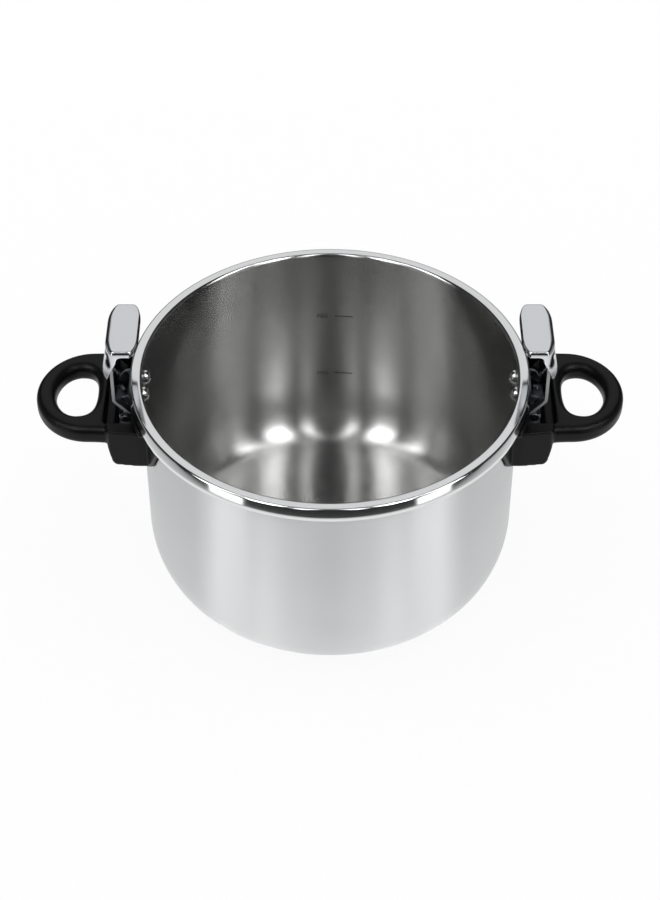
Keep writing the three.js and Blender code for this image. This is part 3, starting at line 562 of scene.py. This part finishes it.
def spread_round(outline, centre, steps):
    """The same closed anticlockwise outline with its points at even angles round a place on the X axis."""
    corners = [Vector((x - centre, y)) for x, y in outline]
    points = []
    for k in range(steps):
        angle = 2 * math.pi * (k + 0.5) / steps
        ray = Vector((math.cos(angle), math.sin(angle)))
        for start, stop in zip(corners, corners[1:] + corners[:1]):
            if start.x * ray.y - start.y * ray.x >= 0 > stop.x * ray.y - stop.y * ray.x:
                edge = stop - start
                reach = (start.x * edge.y - start.y * edge.x) / (ray.x * edge.y - ray.y * edge.x)
                points.append((centre + ray.x * reach, ray.y * reach))
                break
    return points


def drawn_in(outline, distance):
    """A closed anticlockwise outline moved inwards by a distance."""
    count = len(outline)
    moved = []
    for k, (x, y) in enumerate(outline):
        before, after = outline[k - 1], outline[(k + 1) % count]
        along = Vector((after[0] - before[0], after[1] - before[1])).normalized()
        moved.append((x - along.y * distance, y + along.x * distance))
    return moved


def softened(piece, voxel, rounds):
    """One skin over a piece's joined parts, with its edges eased, as a mould or a press leaves them."""
    skin = piece.modifiers.new("skin", "REMESH")
    skin.mode = "VOXEL"
    skin.voxel_size = voxel
    soften = piece.modifiers.new("soften", "SMOOTH")
    soften.factor = 0.5
    soften.iterations = rounds
    settle(piece)
    piece.data.shade_smooth()


def finger_loop():
    """The grip: a flat ring with its outer edges and its hole's edges well rounded."""
    nose = LOOP_END - LOOP_NOSE
    half, wide = HOLE_HALF, HOLE_WIDEST
    near_end = wide - (wide - HOLE_NEAR) * HOLE_SHARES[1]
    far_end = wide + (HOLE_FAR - wide) * HOLE_SHARES[2]
    near_half, far_half = half * HOLE_SHARES[0], half * HOLE_SHARES[3]
    hole = [
        *bezier([(HOLE_FAR, 0), (HOLE_FAR, far_half), (far_end, half), (wide, half)], HOLE_STEPS),
        *bezier([(wide, half), (near_end, half), (HOLE_NEAR, near_half), (HOLE_NEAR, 0)], HOLE_STEPS),
    ]
    hole += [(HOLE_NEAR, 0)] + [(x, -y) for x, y in reversed(hole[1:])]
    neck = (BLOCK_OUT + nose) / 2
    side = [((1 - t) ** 2 * nose + 2 * t * (1 - t) * neck + t * t * BLOCK_OUT,
             (1 - t * t) * LOOP_HALF + t * t * LOOP_ROOT_HALF)
            for t in (k / ROOT_STEPS for k in range(ROOT_STEPS + 1))]
    quarter = [(nose + LOOP_NOSE * math.cos(a), LOOP_HALF * math.sin(a))
               for a in (math.pi / 2 * k / NOSE_STEPS for k in range(NOSE_STEPS))]
    root_start = LOOP_ROOT_HALF - LOOP_ROOT_BEND
    root = bend(POT_RADIUS + LOOP_ROOT_BEND, root_start, LOOP_ROOT_BEND, 90, 180, ROOT_STEPS)
    outer = quarter + side[1:] + root
    outer += [(x, -y) for x, y in reversed(outer[1:])]
    outer = spread_round(outer, HOLE_WIDEST, LOOP_STEPS)
    hole = spread_round(hole, HOLE_WIDEST, LOOP_STEPS)
    top, bottom = LOOP_TOP, LOOP_TOP - LOOP_THICKNESS
    quarters = [math.pi / 2 * k / ROUNDING_STEPS for k in range(ROUNDING_STEPS + 1)]
    rings = [(drawn_in(outer, LOOP_ROUND * (1 - math.sin(a))), bottom + LOOP_ROUND * (1 - math.cos(a)))
             for a in quarters]
    rings += [(drawn_in(outer, LOOP_ROUND * (1 - math.sin(a))), top - LOOP_ROUND * (1 - math.cos(a)))
              for a in reversed(quarters)]
    rings += [(drawn_in(hole, -HOLE_ROUND * (1 - math.sin(a))), top - HOLE_ROUND * (1 - math.cos(a)))
              for a in quarters]
    rings += [(drawn_in(hole, -HOLE_ROUND * (1 - math.sin(a))), bottom + HOLE_ROUND * (1 - math.cos(a)))
              for a in reversed(quarters)]
    points = [(x, y, z) for outline, z in rings for x, y in outline]
    faces = []
    for k in range(len(rings)):
        here, after = k * LOOP_STEPS, ((k + 1) % len(rings)) * LOOP_STEPS
        faces += [(here + j, here + (j + 1) % LOOP_STEPS, after + (j + 1) % LOOP_STEPS, after + j)
                  for j in range(LOOP_STEPS)]
    return closed("loop", points, faces)


def hug(name, radius, thickness, outline):
    """A shell of the given thickness round the pot, cut to an outline seen from the side."""
    low = min(z for _, z in outline) - OVERRUN
    high = max(z for _, z in outline) + OVERRUN
    core = barrel("core", radius, low - OVERRUN, high + OVERRUN)
    trim = slab("trim", outline, POT_RADIUS / 2, RIM_OUT + 4 * OVERRUN, "yzx")
    shell = combine(barrel(name, radius + thickness, low, high), [core], "DIFFERENCE")
    combine(shell, [trim], "INTERSECT")
    for tool in (core, trim):
        bpy.data.objects.remove(tool)
    return shell


foot_out = BLOCK_OUT - BLOCK_LEAN
block = slab("block", [
    (POT_RADIUS - OVERRUN, HANDLE_FOOT),
    *bend(foot_out - BLOCK_FOOT_BEND, HANDLE_FOOT + BLOCK_FOOT_BEND, BLOCK_FOOT_BEND, -90, 0),
    (BLOCK_OUT, LOOP_TOP - LOOP_THICKNESS),
    (BLOCK_OUT, HANDLE_TOP),
    (POT_RADIUS - OVERRUN, HANDLE_TOP),
], -BLOCK_HALF - OVERRUN, BLOCK_HALF + OVERRUN, "xzy")
taper = [
    (POT_RADIUS - 2 * OVERRUN, BLOCK_HALF),
    (WALL_OUT, BLOCK_HALF),
    (BLOCK_OUT - BLOCK_EDGE, BLOCK_OUTER_HALF),
    (BLOCK_OUT + BLOCK_EDGE, BLOCK_OUTER_HALF - 2 * BLOCK_EDGE),
]
taper = slab("taper", [(x, -y) for x, y in taper] + taper[::-1],
             HANDLE_FOOT - OVERRUN, HANDLE_TOP + OVERRUN, "xyz")
combine(block, [taper], "INTERSECT")
bpy.data.objects.remove(taper)
flange_side = [(y, RIM_TOP - drop) for y, drop in FLANGE_POINTS]
flange = hug("flange", WALL_OUT + SEAT_GAP, FLANGE_THICKNESS,
             flange_side + [(-y, z) for y, z in reversed(flange_side)])
collar_top = RIM_TOP - COLLAR_DROP
collar = hug("collar", WALL_OUT, RIM_OUT + SEAT_GAP + COLLAR_THICKNESS - WALL_OUT,
             rounded(-COLLAR_HALF, collar_top - COLLAR_DEPTH, COLLAR_HALF, collar_top, POCKET_BEND))
room = [
    barrel("wall_room", WALL_OUT + SEAT_GAP, HANDLE_FOOT - OVERRUN, RIM_TOP + OVERRUN),
    barrel("skirt_room", RIM_OUT + SEAT_GAP, crease - SKIRT_FOOT - SEAT_GAP, RIM_TOP + 2 * OVERRUN),
    slab("pocket", rounded(0, -POCKET_HALF, POCKET_OUT, POCKET_HALF, POCKET_BEND), POCKET_STEP,
         RIM_TOP + OVERRUN, "xyz"),
    slab("deep_pocket", rounded(0, -POCKET_HALF, POCKET_STEP_OUT, POCKET_HALF, POCKET_BEND), POCKET_FLOOR,
         POCKET_STEP + OVERRUN, "xyz"),
    *[barrel("counterbore", SCREW_HEAD, HANDLE_FOOT - OVERRUN, HANDLE_FOOT + SCREW_SINK,
             SCREW_X, y, ROUND_STEPS) for y in (-SCREW_SPREAD, SCREW_SPREAD)],
]
parts = [combine(piece, room, "DIFFERENCE") for piece in (block, finger_loop(), flange, collar)]
handle = joined("handle", parts)
for tool in room:
    bpy.data.objects.remove(tool)
softened(handle, MOULD_VOXEL, MOULD_SMOOTHING)

# Moulded phenolic (wood-flour filled): near black, a soft satin gloss from the mould, and a fine
# orange peel with its lumps just under a millimetre apart.
phenolic, tree, shader = finish(
    "black_phenolic", PHENOLIC_COLOUR, roughness=0.36, metallic=0.0, IOR=1.6, Specular_IOR_Level=0.12,
)
peel = add(tree, "ShaderNodeTexNoise", {"Scale": 1 / PEEL_WIDTH, "Detail": 2.0})
haze = add(tree, "ShaderNodeTexNoise", {"Scale": 1 / HAZE_WIDTH, "Detail": 3.0})
gloss = add(tree, "ShaderNodeMapRange", {"Value": haze.outputs["Fac"], "To Min": 0.3, "To Max": 0.44})
tree.links.new(gloss.outputs[0], shader.inputs["Roughness"])
relief = add(tree, "ShaderNodeBump",
             {"Height": peel.outputs["Fac"], "Strength": 0.15, "Distance": PEEL_DEPTH})
tree.links.new(relief.outputs["Normal"], shader.inputs["Normal"])
handle.data.materials.clear()
handle.data.materials.append(phenolic)


def on_both_sides(piece, name, body, slot, *nodes):
    """A piece built facing +X goes to the right side, and its copy turned half round to the left."""
    for side, facing in (("right", 0), ("left", math.pi)):
        copy = bpy.data.objects.new(f"{side}_{name}", piece.data.copy())
        copy.data.transform(Matrix.Rotation(facing, 4, "Z"))
        scene.collection.objects.link(copy)
        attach(copy, body.format(side))
        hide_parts(*[f"{side}_{node}" for node in nodes])
    bpy.data.objects.remove(piece)


on_both_sides(handle, "moulded_handle", "pot", "phenolic", "handle")


# Clamp hooks: a strip of 2 mm steel bent to a jaw, a leg and two rolled eyes, then chromed. The
# jaw bears on the lid, and the edge between the eyes stops on the bracket.
HOOK_SHEET = 2 * MM
HOOK_HALF = 20.4 * MM
HOOK_BEND = 3.5 * MM
HOOK_EDGE = 0.8 * MM
SIDEWAYS = 0.6  # faces that look this much along Y are the strip's sheared edges, which get the painted highlight
CHROME_COLOUR = "#d5d7da"
CHROME_WAVES = 12 * MM
CHROME_WAVE_DEPTH = 0.3 * MM
CHROME_SMEARS = 5 * MM
SHEARED_HIGHLIGHT_COLOUR = "#a9abad"
LEG_FOOT_DROP = 9 * MM
EYE_WIDTH = 6 * MM
EYE_WRAP = 250
STOP_LEDGE = 4.5 * MM
PIVOT = Vector((WALL_OUT + 9.1 * MM, RIM_TOP - 21.5 * MM))
PIN_RADIUS = 2 * MM
TURN_GAP = 0.3 * MM
CAP_SHEET = 1.6 * MM
CAP_LEG_GAP = 0.8 * MM
CAP_OUT = WALL_OUT + 19.2 * MM
CAP_IN = WALL_OUT - 1.6 * MM
CAP_INNER_CORNER = (5.5 * MM, 14 * MM)
CAP_TOP = RIM_TOP + 34.7 * MM
CAP_FOOT = RIM_TOP + 11.9 * MM
leg_middle = CAP_OUT - CAP_SHEET - CAP_LEG_GAP - HOOK_SHEET / 2
jaw_middle = CAP_TOP - CAP_SHEET - SEAT_GAP - HOOK_SHEET / 2
eye_middle = PIN_RADIUS + TURN_GAP + HOOK_SHEET / 2


def touch_angle(place, middle, radius, way):
    """Degrees at which a line from a place touches a circle. Way is 1 to run onto it, -1 to leave it."""
    line = place - middle
    return math.degrees(math.atan2(line.y, line.x) + way * math.acos(radius / line.length))


def strip(line, thickness):
    """Outline of a strip of even thickness along a middle line."""
    left, right = [], []
    for k, here in enumerate(line):
        before, after = Vector(line[max(k - 1, 0)]), Vector(line[min(k + 1, len(line) - 1)])
        along = (after - before).normalized()
        across = Vector((-along.y, along.x)) * thickness / 2
        left.append(tuple(Vector(here) + across))
        right.insert(0, tuple(Vector(here) - across))
    return left + right


knee = Vector((leg_middle, RIM_TOP - LEG_FOOT_DROP))
entry = touch_angle(knee, PIVOT, eye_middle, 1)
eye = bend(PIVOT.x, PIVOT.y, eye_middle, entry, entry + EYE_WRAP, 30)
slant = (Vector(eye[0]) - knee).normalized()
knee_turn = math.degrees(math.acos(-slant.y))
knee_start = knee.y + HOOK_BEND * math.tan(math.radians(knee_turn) / 2)
jaw_edge = CAP_IN + CAP_SHEET + SEAT_GAP
hook_line = [
    (jaw_edge, jaw_middle),
    *bend(leg_middle - HOOK_BEND, jaw_middle - HOOK_BEND, HOOK_BEND, 90, 0, 8),
    *bend(leg_middle - HOOK_BEND, knee_start, HOOK_BEND, 0, -knee_turn, 6),
    *eye,
]
hook = slab("hook", strip(hook_line, HOOK_SHEET), -HOOK_HALF, HOOK_HALF, "xzy")
jaw_corner = [reach - CAP_SHEET - SEAT_GAP for reach in CAP_INNER_CORNER]
jaw_plan = plate(jaw_edge, -HOOK_HALF, CAP_OUT + OVERRUN, HOOK_HALF, jaw_corner, (SEAT_GAP, SEAT_GAP), 12)
plan = slab("plan", jaw_plan, PIVOT.y - 2 * OVERRUN, CAP_TOP, "xyz")
combine(hook, [plan], "INTERSECT")
ledge = Vector(eye[0]) - slant * STOP_LEDGE
across = Vector((-slant.y, slant.x)) * 2 * OVERRUN
reach = slant * (2 * OVERRUN + STOP_LEDGE)
window_side = [tuple(ledge - across), tuple(ledge + across), tuple(ledge + across + reach),
               tuple(ledge - across + reach)]
eye_low = HOOK_HALF - EYE_WIDTH
cut_out = slab("cut_out", window_side, -eye_low, eye_low, "xzy")
combine(hook, [cut_out], "DIFFERENCE")
for tool in (plan, cut_out):
    bpy.data.objects.remove(tool)
round_off = hook.modifiers.new("edges", "BEVEL")
round_off.width = HOOK_EDGE
round_off.segments = 4
round_off.limit_method = "ANGLE"
round_off.angle_limit = EDGE_ANGLE
settle(hook)
hook.data.shade_smooth()
hook.data.set_sharp_from_angle(angle=EDGE_ANGLE)

# Chrome plate over nickel: a cold bright mirror that shows the sheet's slight waves, and a few smears.
chrome, tree, shader = finish("chrome_plate", CHROME_COLOUR, roughness=0.07)
wave = add(tree, "ShaderNodeTexNoise", {"Scale": 1 / CHROME_WAVES, "Detail": 1.0})
relief = add(tree, "ShaderNodeBump",
             {"Height": wave.outputs["Fac"], "Strength": 0.1, "Distance": CHROME_WAVE_DEPTH})
tree.links.new(relief.outputs["Normal"], shader.inputs["Normal"])
smear = add(tree, "ShaderNodeTexNoise", {"Scale": 1 / CHROME_SMEARS, "Detail": 3.0})
gloss = add(tree, "ShaderNodeMapRange", {"Value": smear.outputs["Fac"], "To Min": 0.04, "To Max": 0.12})
tree.links.new(gloss.outputs[0], shader.inputs["Roughness"])

# Sheared edges of the strip, barely plated: a dull grey steel made light as a painted highlight, so that it
# stays light beside the mirror.
sheared_edge_highlight, tree, shader = finish("sheared_edge_with_painted_highlight", SHEARED_HIGHLIGHT_COLOUR, roughness=0.5, metallic=0.35)
hook.data.materials.clear()
for steel in (chrome, sheared_edge_highlight):
    hook.data.materials.append(steel)
# The sheared edges, with half of their rounding, get the light grey of the painted highlight.
for face in hook.data.polygons:
    face.material_index = int(abs(face.normal.y) > SIDEWAYS)
on_both_sides(hook, "bent_hook", "{}_clamp", "clamp_chrome", "clamp_hook")


# Clamp caps: pressed from one steel sheet and chromed. The thumb presses on the rounded top, the
# outer wall runs down and flares over the handle, and the cheeks taper.
CAP_HALF = 24.6 * MM
CAP_FLARE = 3.1 * MM
CAP_FLARE_HEIGHT = 10.4 * MM
CAP_LIP = 4.5 * MM
CAP_CROWN = 3 * MM
CAP_TOP_BEND = 5 * MM
CAP_EDGE_BEND = 1.4 * MM
CAP_OUTER_CORNER = (6.2 * MM, 16 * MM)
CAP_LEAST_BEND = 0.4 * MM
CHEEK_TOP = 7.4 * MM
CHEEK_FOOT = 0.8 * MM
CHEEK_BEND = 4 * MM
CAP_VOXEL = 0.4 * MM
CAP_SMOOTHING = 6
FLARE_STEPS = 12
CHEEK_STEPS = 8
CROWN_STEPS = 8


def tube_faces(rings, count):
    """Faces between rings of points, each with the same count, and over the first and last ring."""
    faces = []
    for here in range(0, (rings - 1) * count, count):
        for j in range(count):
            after = (j + 1) % count
            faces.append((here + j, here + after, here + count + after, here + count + j))
    last = (rings - 1) * count
    return faces + [tuple(reversed(range(count))), tuple(range(last, last + count))]


def loft(name, levels):
    """A closed solid through outlines with as many points each, every one with its height, upwards."""
    points = [(x, y, z) for outline, z in levels for x, y in outline]
    return closed(name, points, tube_faces(len(levels), len(levels[0][0])))


def cap_level(inset, z, flare, share):
    """Outline of the cap at one height. The share is how far its edges have turned in at the crown."""
    corners = [[max(reach - inset, CAP_LEAST_BEND) for reach in pair]
               for pair in (CAP_INNER_CORNER, CAP_OUTER_CORNER)]
    edge = share * max(CAP_EDGE_BEND - inset, CAP_LEAST_BEND)
    crown = share * max(CAP_TOP_BEND - inset, CAP_LEAST_BEND)
    near = [reach - edge for reach in corners[0]]
    far = (corners[1][0] - crown, corners[1][1] - edge)
    half = CAP_HALF - inset - edge
    return plate(CAP_IN + inset + edge, -half, CAP_OUT - inset + flare - crown, half, near, far, 10), z


def cap_form(name, inset):
    """The cap's outer form, or its hollow when drawn in by the sheet."""
    levels = [cap_level(inset, CAP_FOOT - OVERRUN, CAP_FLARE, 0)] if inset else []
    for rise in (k / FLARE_STEPS for k in range(FLARE_STEPS + 1)):
        levels.append(cap_level(inset, CAP_FOOT + rise * CAP_FLARE_HEIGHT, CAP_FLARE * (1 - rise) ** 2, 0))
    crown = max(CAP_CROWN - inset, CAP_LEAST_BEND)
    for turn_in, up in bend(0, 0, 1, 0, 90, CROWN_STEPS):
        levels.append(cap_level(inset, CAP_TOP - inset - crown * (1 - up), 0, 1 - turn_in))
    return loft(name, levels)


lip_edge = CAP_TOP - CAP_LIP
cheek_start = CAP_OUT - CHEEK_TOP
cheek_end = CAP_OUT - CHEEK_FOOT
turn_out = [(cheek_start - CHEEK_BEND * t * t, lip_edge - CHEEK_BEND * (1 - t) ** 2)
            for t in (k / CHEEK_STEPS for k in range(CHEEK_STEPS + 1))]
open_side = [
    (CAP_IN - OVERRUN, lip_edge),
    (CAP_IN - OVERRUN, CAP_FOOT - OVERRUN),
    (cheek_end, CAP_FOOT - OVERRUN),
    (cheek_end, CAP_FOOT),
    *turn_out,
]
hollow = [
    cap_form("hollow", CAP_SHEET),
    slab("open_side", open_side, -CAP_HALF - OVERRUN, CAP_HALF + OVERRUN, "xzy"),
]
cap = combine(cap_form("cap", 0), hollow, "DIFFERENCE")
for tool in hollow:
    bpy.data.objects.remove(tool)
softened(cap, CAP_VOXEL, CAP_SMOOTHING)
cap.data.materials.clear()
cap.data.materials.append(chrome)
on_both_sides(cap, "pressed_cap", "{}_clamp", "clamp_chrome", "clamp_cap")


# Cap rivets: two countersunk steel rivets through cap and hook on each side, filed flush and
# chromed with the cap.
CAP_RIVET_SPREAD = 11 * MM
CAP_RIVET_RISE = 25.5 * MM
CAP_RIVET_HEAD = 3 * MM
CAP_RIVET_SHANK = 1.6 * MM
CAP_RIVET_SINK = 1.1 * MM
CAP_RIVET_TAIL = 2.6 * MM
CAP_RIVET_TAIL_HEIGHT = 0.9 * MM
CAP_RIVET_PROUD = 0.08 * MM  # it stands out by this, so that its rim shows
cap_rivet_end = CAP_SHEET + CAP_LEG_GAP + HOOK_SHEET + SEAT_GAP
for side, facing in (("right", 0), ("left", math.pi)):
    for place_name, step in (("front", -1), ("rear", 1)):
        across_side = (step if side == "right" else -step) * CAP_RIVET_SPREAD
        rivet = turned(f"{side}_cap_rivet_dressed_{place_name}", [
            (0, CAP_RIVET_PROUD),
            (CAP_RIVET_HEAD - CAP_RIVET_PROUD, CAP_RIVET_PROUD),
            (CAP_RIVET_HEAD, 0),
            (CAP_RIVET_SHANK, -CAP_RIVET_SINK),
            (CAP_RIVET_SHANK, -cap_rivet_end),
            *bend(0, -cap_rivet_end, CAP_RIVET_TAIL, 0, -90, 8, CAP_RIVET_TAIL_HEIGHT),
        ], ROUND_STEPS)
        spot = Matrix.Translation((CAP_OUT, across_side, RIM_TOP + CAP_RIVET_RISE))
        rivet.data.transform(Matrix.Rotation(facing, 4, "Z") @ spot @ outwards)
        rivet.data.materials.append(chrome)
        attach(rivet, f"{side}_clamp")
        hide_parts(f"{side}_cap_rivet_{place_name}")


# Pivot pins: turned steel pins with a flat head, zinc plated. They go through the bracket's ears
# and the hook's eyes, and the clip keeps them in.
PIN_HEAD = 3.2 * MM
PIN_HEAD_THICKNESS = 1.3 * MM
PIN_CHAMFER = 0.3 * MM
pin_low, pin_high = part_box("right_pivot_pin")
head_end = pin_low.y + PIN_HEAD_THICKNESS
pin = turned("pin", [
    (0, pin_low.y),
    (PIN_HEAD - PIN_CHAMFER, pin_low.y),
    (PIN_HEAD, pin_low.y + PIN_CHAMFER),
    (PIN_HEAD, head_end),
    (PIN_RADIUS, head_end),
    (PIN_RADIUS, pin_high.y - PIN_CHAMFER),
    (PIN_RADIUS - PIN_CHAMFER, pin_high.y),
    (0, pin_high.y),
], ROUND_STEPS)
lying = Matrix.Rotation(-math.pi / 2, 4, "X")
pin.data.transform(Matrix.Translation((PIVOT.x, 0, PIVOT.y)) @ lying)
pin.data.materials.append(zinced_steel)
on_both_sides(pin, "turned_pin", "pot", "zinced_steel", "pivot_pin")


# Torsion springs: hard-drawn 1.2 mm spring wire, zinc plated, seven turns round the pin. One leg
# bears on the bracket, the other on the back of the hook and goes with it.
WIRE = 1.2 * MM
COIL_INSIDE = 2.5 * MM
COIL_GAP = 0.5 * MM
COIL_TURNS = 7
BRACKET_SHEET = 2 * MM
SPRING_FOOT_DROP = 31 * MM
SPRING_LEG_RISE = 5 * MM
WIRE_SIDES = 12
TURN_STEPS = 28
LEG_STEPS = 10
coil_middle = COIL_INSIDE + WIRE / 2
bracket_out = WALL_OUT + SEAT_GAP + BRACKET_SHEET
lift = SEAT_GAP + WIRE / 2
foot = Vector((bracket_out + lift, RIM_TOP - SPRING_FOOT_DROP))
bearing = Vector((leg_middle + HOOK_SHEET / 2 + lift, RIM_TOP - LEG_FOOT_DROP))
first = touch_angle(foot, PIVOT, coil_middle, 1)
last = touch_angle(bearing, PIVOT, coil_middle, -1) + 360 * COIL_TURNS
turns = (last - first) / 360
coil_half = (WIRE + COIL_GAP) * turns / 2
coil_steps = round(turns * TURN_STEPS)
coil = [Vector((x, coil_half * (2 * k / coil_steps - 1), z))
        for k, (x, z) in enumerate(bend(PIVOT.x, PIVOT.y, coil_middle, first, last, coil_steps))]
fixed_leg = [Vector((foot.x, -coil_half, foot.y)).lerp(coil[0], k / LEG_STEPS) for k in range(LEG_STEPS)]
knee_point = Vector((bearing.x, coil_half, bearing.y))
leg_top = Vector((bearing.x, coil_half, RIM_TOP + SPRING_LEG_RISE))
moving_leg = [coil[-1].lerp(knee_point, k / LEG_STEPS) for k in range(1, LEG_STEPS)]
moving_leg += [knee_point.lerp(leg_top, k / LEG_STEPS) for k in range(LEG_STEPS + 1)]


def wire(name, line, radius, sides):
    """Round wire with closed ends along a line of points."""
    points = []
    across = Vector((0, 1, 0))
    for k, here in enumerate(line):
        along = (line[min(k + 1, len(line) - 1)] - line[max(k - 1, 0)]).normalized()
        across = (across - along * across.dot(along)).normalized()
        over = along.cross(across)
        angles = [2 * math.pi * j / sides for j in range(sides)]
        points += [here + across * radius * math.cos(a) + over * radius * math.sin(a) for a in angles]
    return closed(name, points, tube_faces(len(line), sides))


for side, facing in (("right", 1), ("left", -1)):
    line = [Vector((p.x * facing, p.y * facing, p.z)) for p in fixed_leg + coil + moving_leg]
    spring = wire(f"{side}_torsion_spring", line, WIRE / 2, WIRE_SIDES)
    spring.data.materials.clear()
    spring.data.materials.append(zinced_steel)
    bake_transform(spring)
    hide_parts(f"{side}_clamp_spring")


# Floor: a round table under white paper. The camera sees it evenly white, apart from the pot's shadow, and
# the steel mirrors
# a painted pool of light on it: a glow that is bright near the pot and falls off towards the table's edge.
TABLE_RADIUS = 620 * MM
PAINTED_POOL_RADIUS = 300 * MM
PAPER_COLOUR = "#f4f4f4"
PAPER_SEEN = 1.03
PAINTED_POOL_NEAR = 1.05
PAINTED_POOL_EDGE = 0.3
PAPER_GLOW_SHARE = 0.85  # what is left to the paper's own shading carries the shadow
floor = turned("floor", [(0, 0), (TABLE_RADIUS, 0)])

# Matt white paper: it throws the light back evenly, with no highlight. Over it lies a glow, even for the
# camera and a painted pool of light in mirrored rays.
paper, tree, shader = finish("matt_white_paper_and_painted_glow", PAPER_COLOUR, roughness=0.8, metallic=0.0)
path = add(tree, "ShaderNodeLightPath")
seen = add(tree, "ShaderNodeMath", {0: path.outputs["Is Camera Ray"], 1: path.outputs["Is Glossy Ray"]},
           operation="MAXIMUM")
seen = add(tree, "ShaderNodeMath", {0: seen.outputs[0], 1: path.outputs["Is Transmission Ray"]},
           operation="MAXIMUM")
place = add(tree, "ShaderNodeTexCoord").outputs["Object"]
from_middle = add(tree, "ShaderNodeVectorMath", {0: place}, operation="LENGTH").outputs["Value"]
# Painted pool of light: the glow seen in mirrored rays falls off from the pot to the table's edge.
painted_pool = add(tree, "ShaderNodeMapRange",
           {0: from_middle, 1: PAINTED_POOL_RADIUS, 2: TABLE_RADIUS, 3: PAINTED_POOL_NEAR, 4: PAINTED_POOL_EDGE})
level = add(tree, "ShaderNodeMix", {0: path.outputs["Is Camera Ray"], 2: painted_pool.outputs[0], 3: PAPER_SEEN},
            data_type="FLOAT")
glow = add(tree, "ShaderNodeEmission", {"Color": (1, 1, 1, 1), "Strength": level.outputs[0]})
share = add(tree, "ShaderNodeMath", {0: seen.outputs[0], 1: PAPER_GLOW_SHARE}, operation="MULTIPLY")
mixed = add(tree, "ShaderNodeMixShader", {0: share.outputs[0], 1: shader.outputs[0], 2: glow.outputs[0]})
tree.links.new(mixed.outputs[0], tree.nodes["Material Output"].inputs["Surface"])
floor.data.materials.append(paper)


# Studio: one plain level lights the object, and its steel mirrors a dark room with softboxes. Each
# shape, alike left and right, has its nearest and furthest angle from straight in front, its lowest
# and highest angle over the table and its soft edge, in degrees, and then its brightness.
STUDIO_LEVEL = 0.9
ROOM_LEVEL = 0.03
STUDIO = {
    "white wall behind": (152, 200, 25, 60, 8, 0.85),
    "strips beside the camera": (14, 20, 35, 82, 2, 3.5),
    "tall softboxes": (34, 46, 36, 62, 3, 9.0),
    "side strips": (68, 73, 25, 82, 3, 9.0),
    "low sides": (84, 130, -90, 10, 4, 0.3),
    "low softboxes": (45, 62, -90, 8, 2, 2.1),
    "ceiling": (-20, 200, 84, 100, 6, 0.4),
}
world = bpy.data.worlds.new("studio")
world.use_nodes = True
scene.world = world
tree = world.node_tree
direction = add(tree, "ShaderNodeSeparateXYZ", {0: add(tree, "ShaderNodeTexCoord").outputs["Generated"]})
toward = add(tree, "ShaderNodeMath", {0: direction.outputs["Y"], 1: -1.0}, operation="MULTIPLY")
aside = add(tree, "ShaderNodeMath", {0: direction.outputs["X"], 1: toward.outputs[0]}, operation="ARCTAN2")
aside = add(tree, "ShaderNodeMath", {0: aside.outputs[0]}, operation="ABSOLUTE")
aside = add(tree, "ShaderNodeMath", {0: aside.outputs[0]}, operation="DEGREES")
height = add(tree, "ShaderNodeMath", {0: direction.outputs["Z"]}, operation="ARCSINE")
height = add(tree, "ShaderNodeMath", {0: height.outputs[0]}, operation="DEGREES")
mirrored = ROOM_LEVEL
for name, (near, far, low, high, edge, brightness) in STUDIO.items():
    shape = 1.0
    for angle, start, stop in ((aside, near, far), (height, low, high)):
        for outside, inside in ((start - edge, start), (stop + edge, stop)):
            side = add(tree, "ShaderNodeMapRange", {0: angle.outputs[0], 1: outside, 2: inside},
                       interpolation_type="SMOOTHSTEP")
            shape = add(tree, "ShaderNodeMath", {0: shape, 1: side.outputs[0]}, operation="MULTIPLY",
                        label=name).outputs[0]
    lit = add(tree, "ShaderNodeMix", {0: shape, 2: mirrored, 3: brightness}, data_type="FLOAT")
    mirrored = lit.outputs[0]
path = add(tree, "ShaderNodeLightPath")
shown = add(tree, "ShaderNodeMix", {0: path.outputs["Is Glossy Ray"], 2: STUDIO_LEVEL, 3: mirrored},
            data_type="FLOAT")
shown = add(tree, "ShaderNodeMix", {0: path.outputs["Is Camera Ray"], 2: shown.outputs[0], 3: 1.0},
            data_type="FLOAT")
background = tree.nodes["Background"]
background.inputs["Color"].default_value = (1, 1, 1, 1)
tree.links.new(shown.outputs[0], background.inputs["Strength"])

scene.view_settings.view_transform = "Standard"
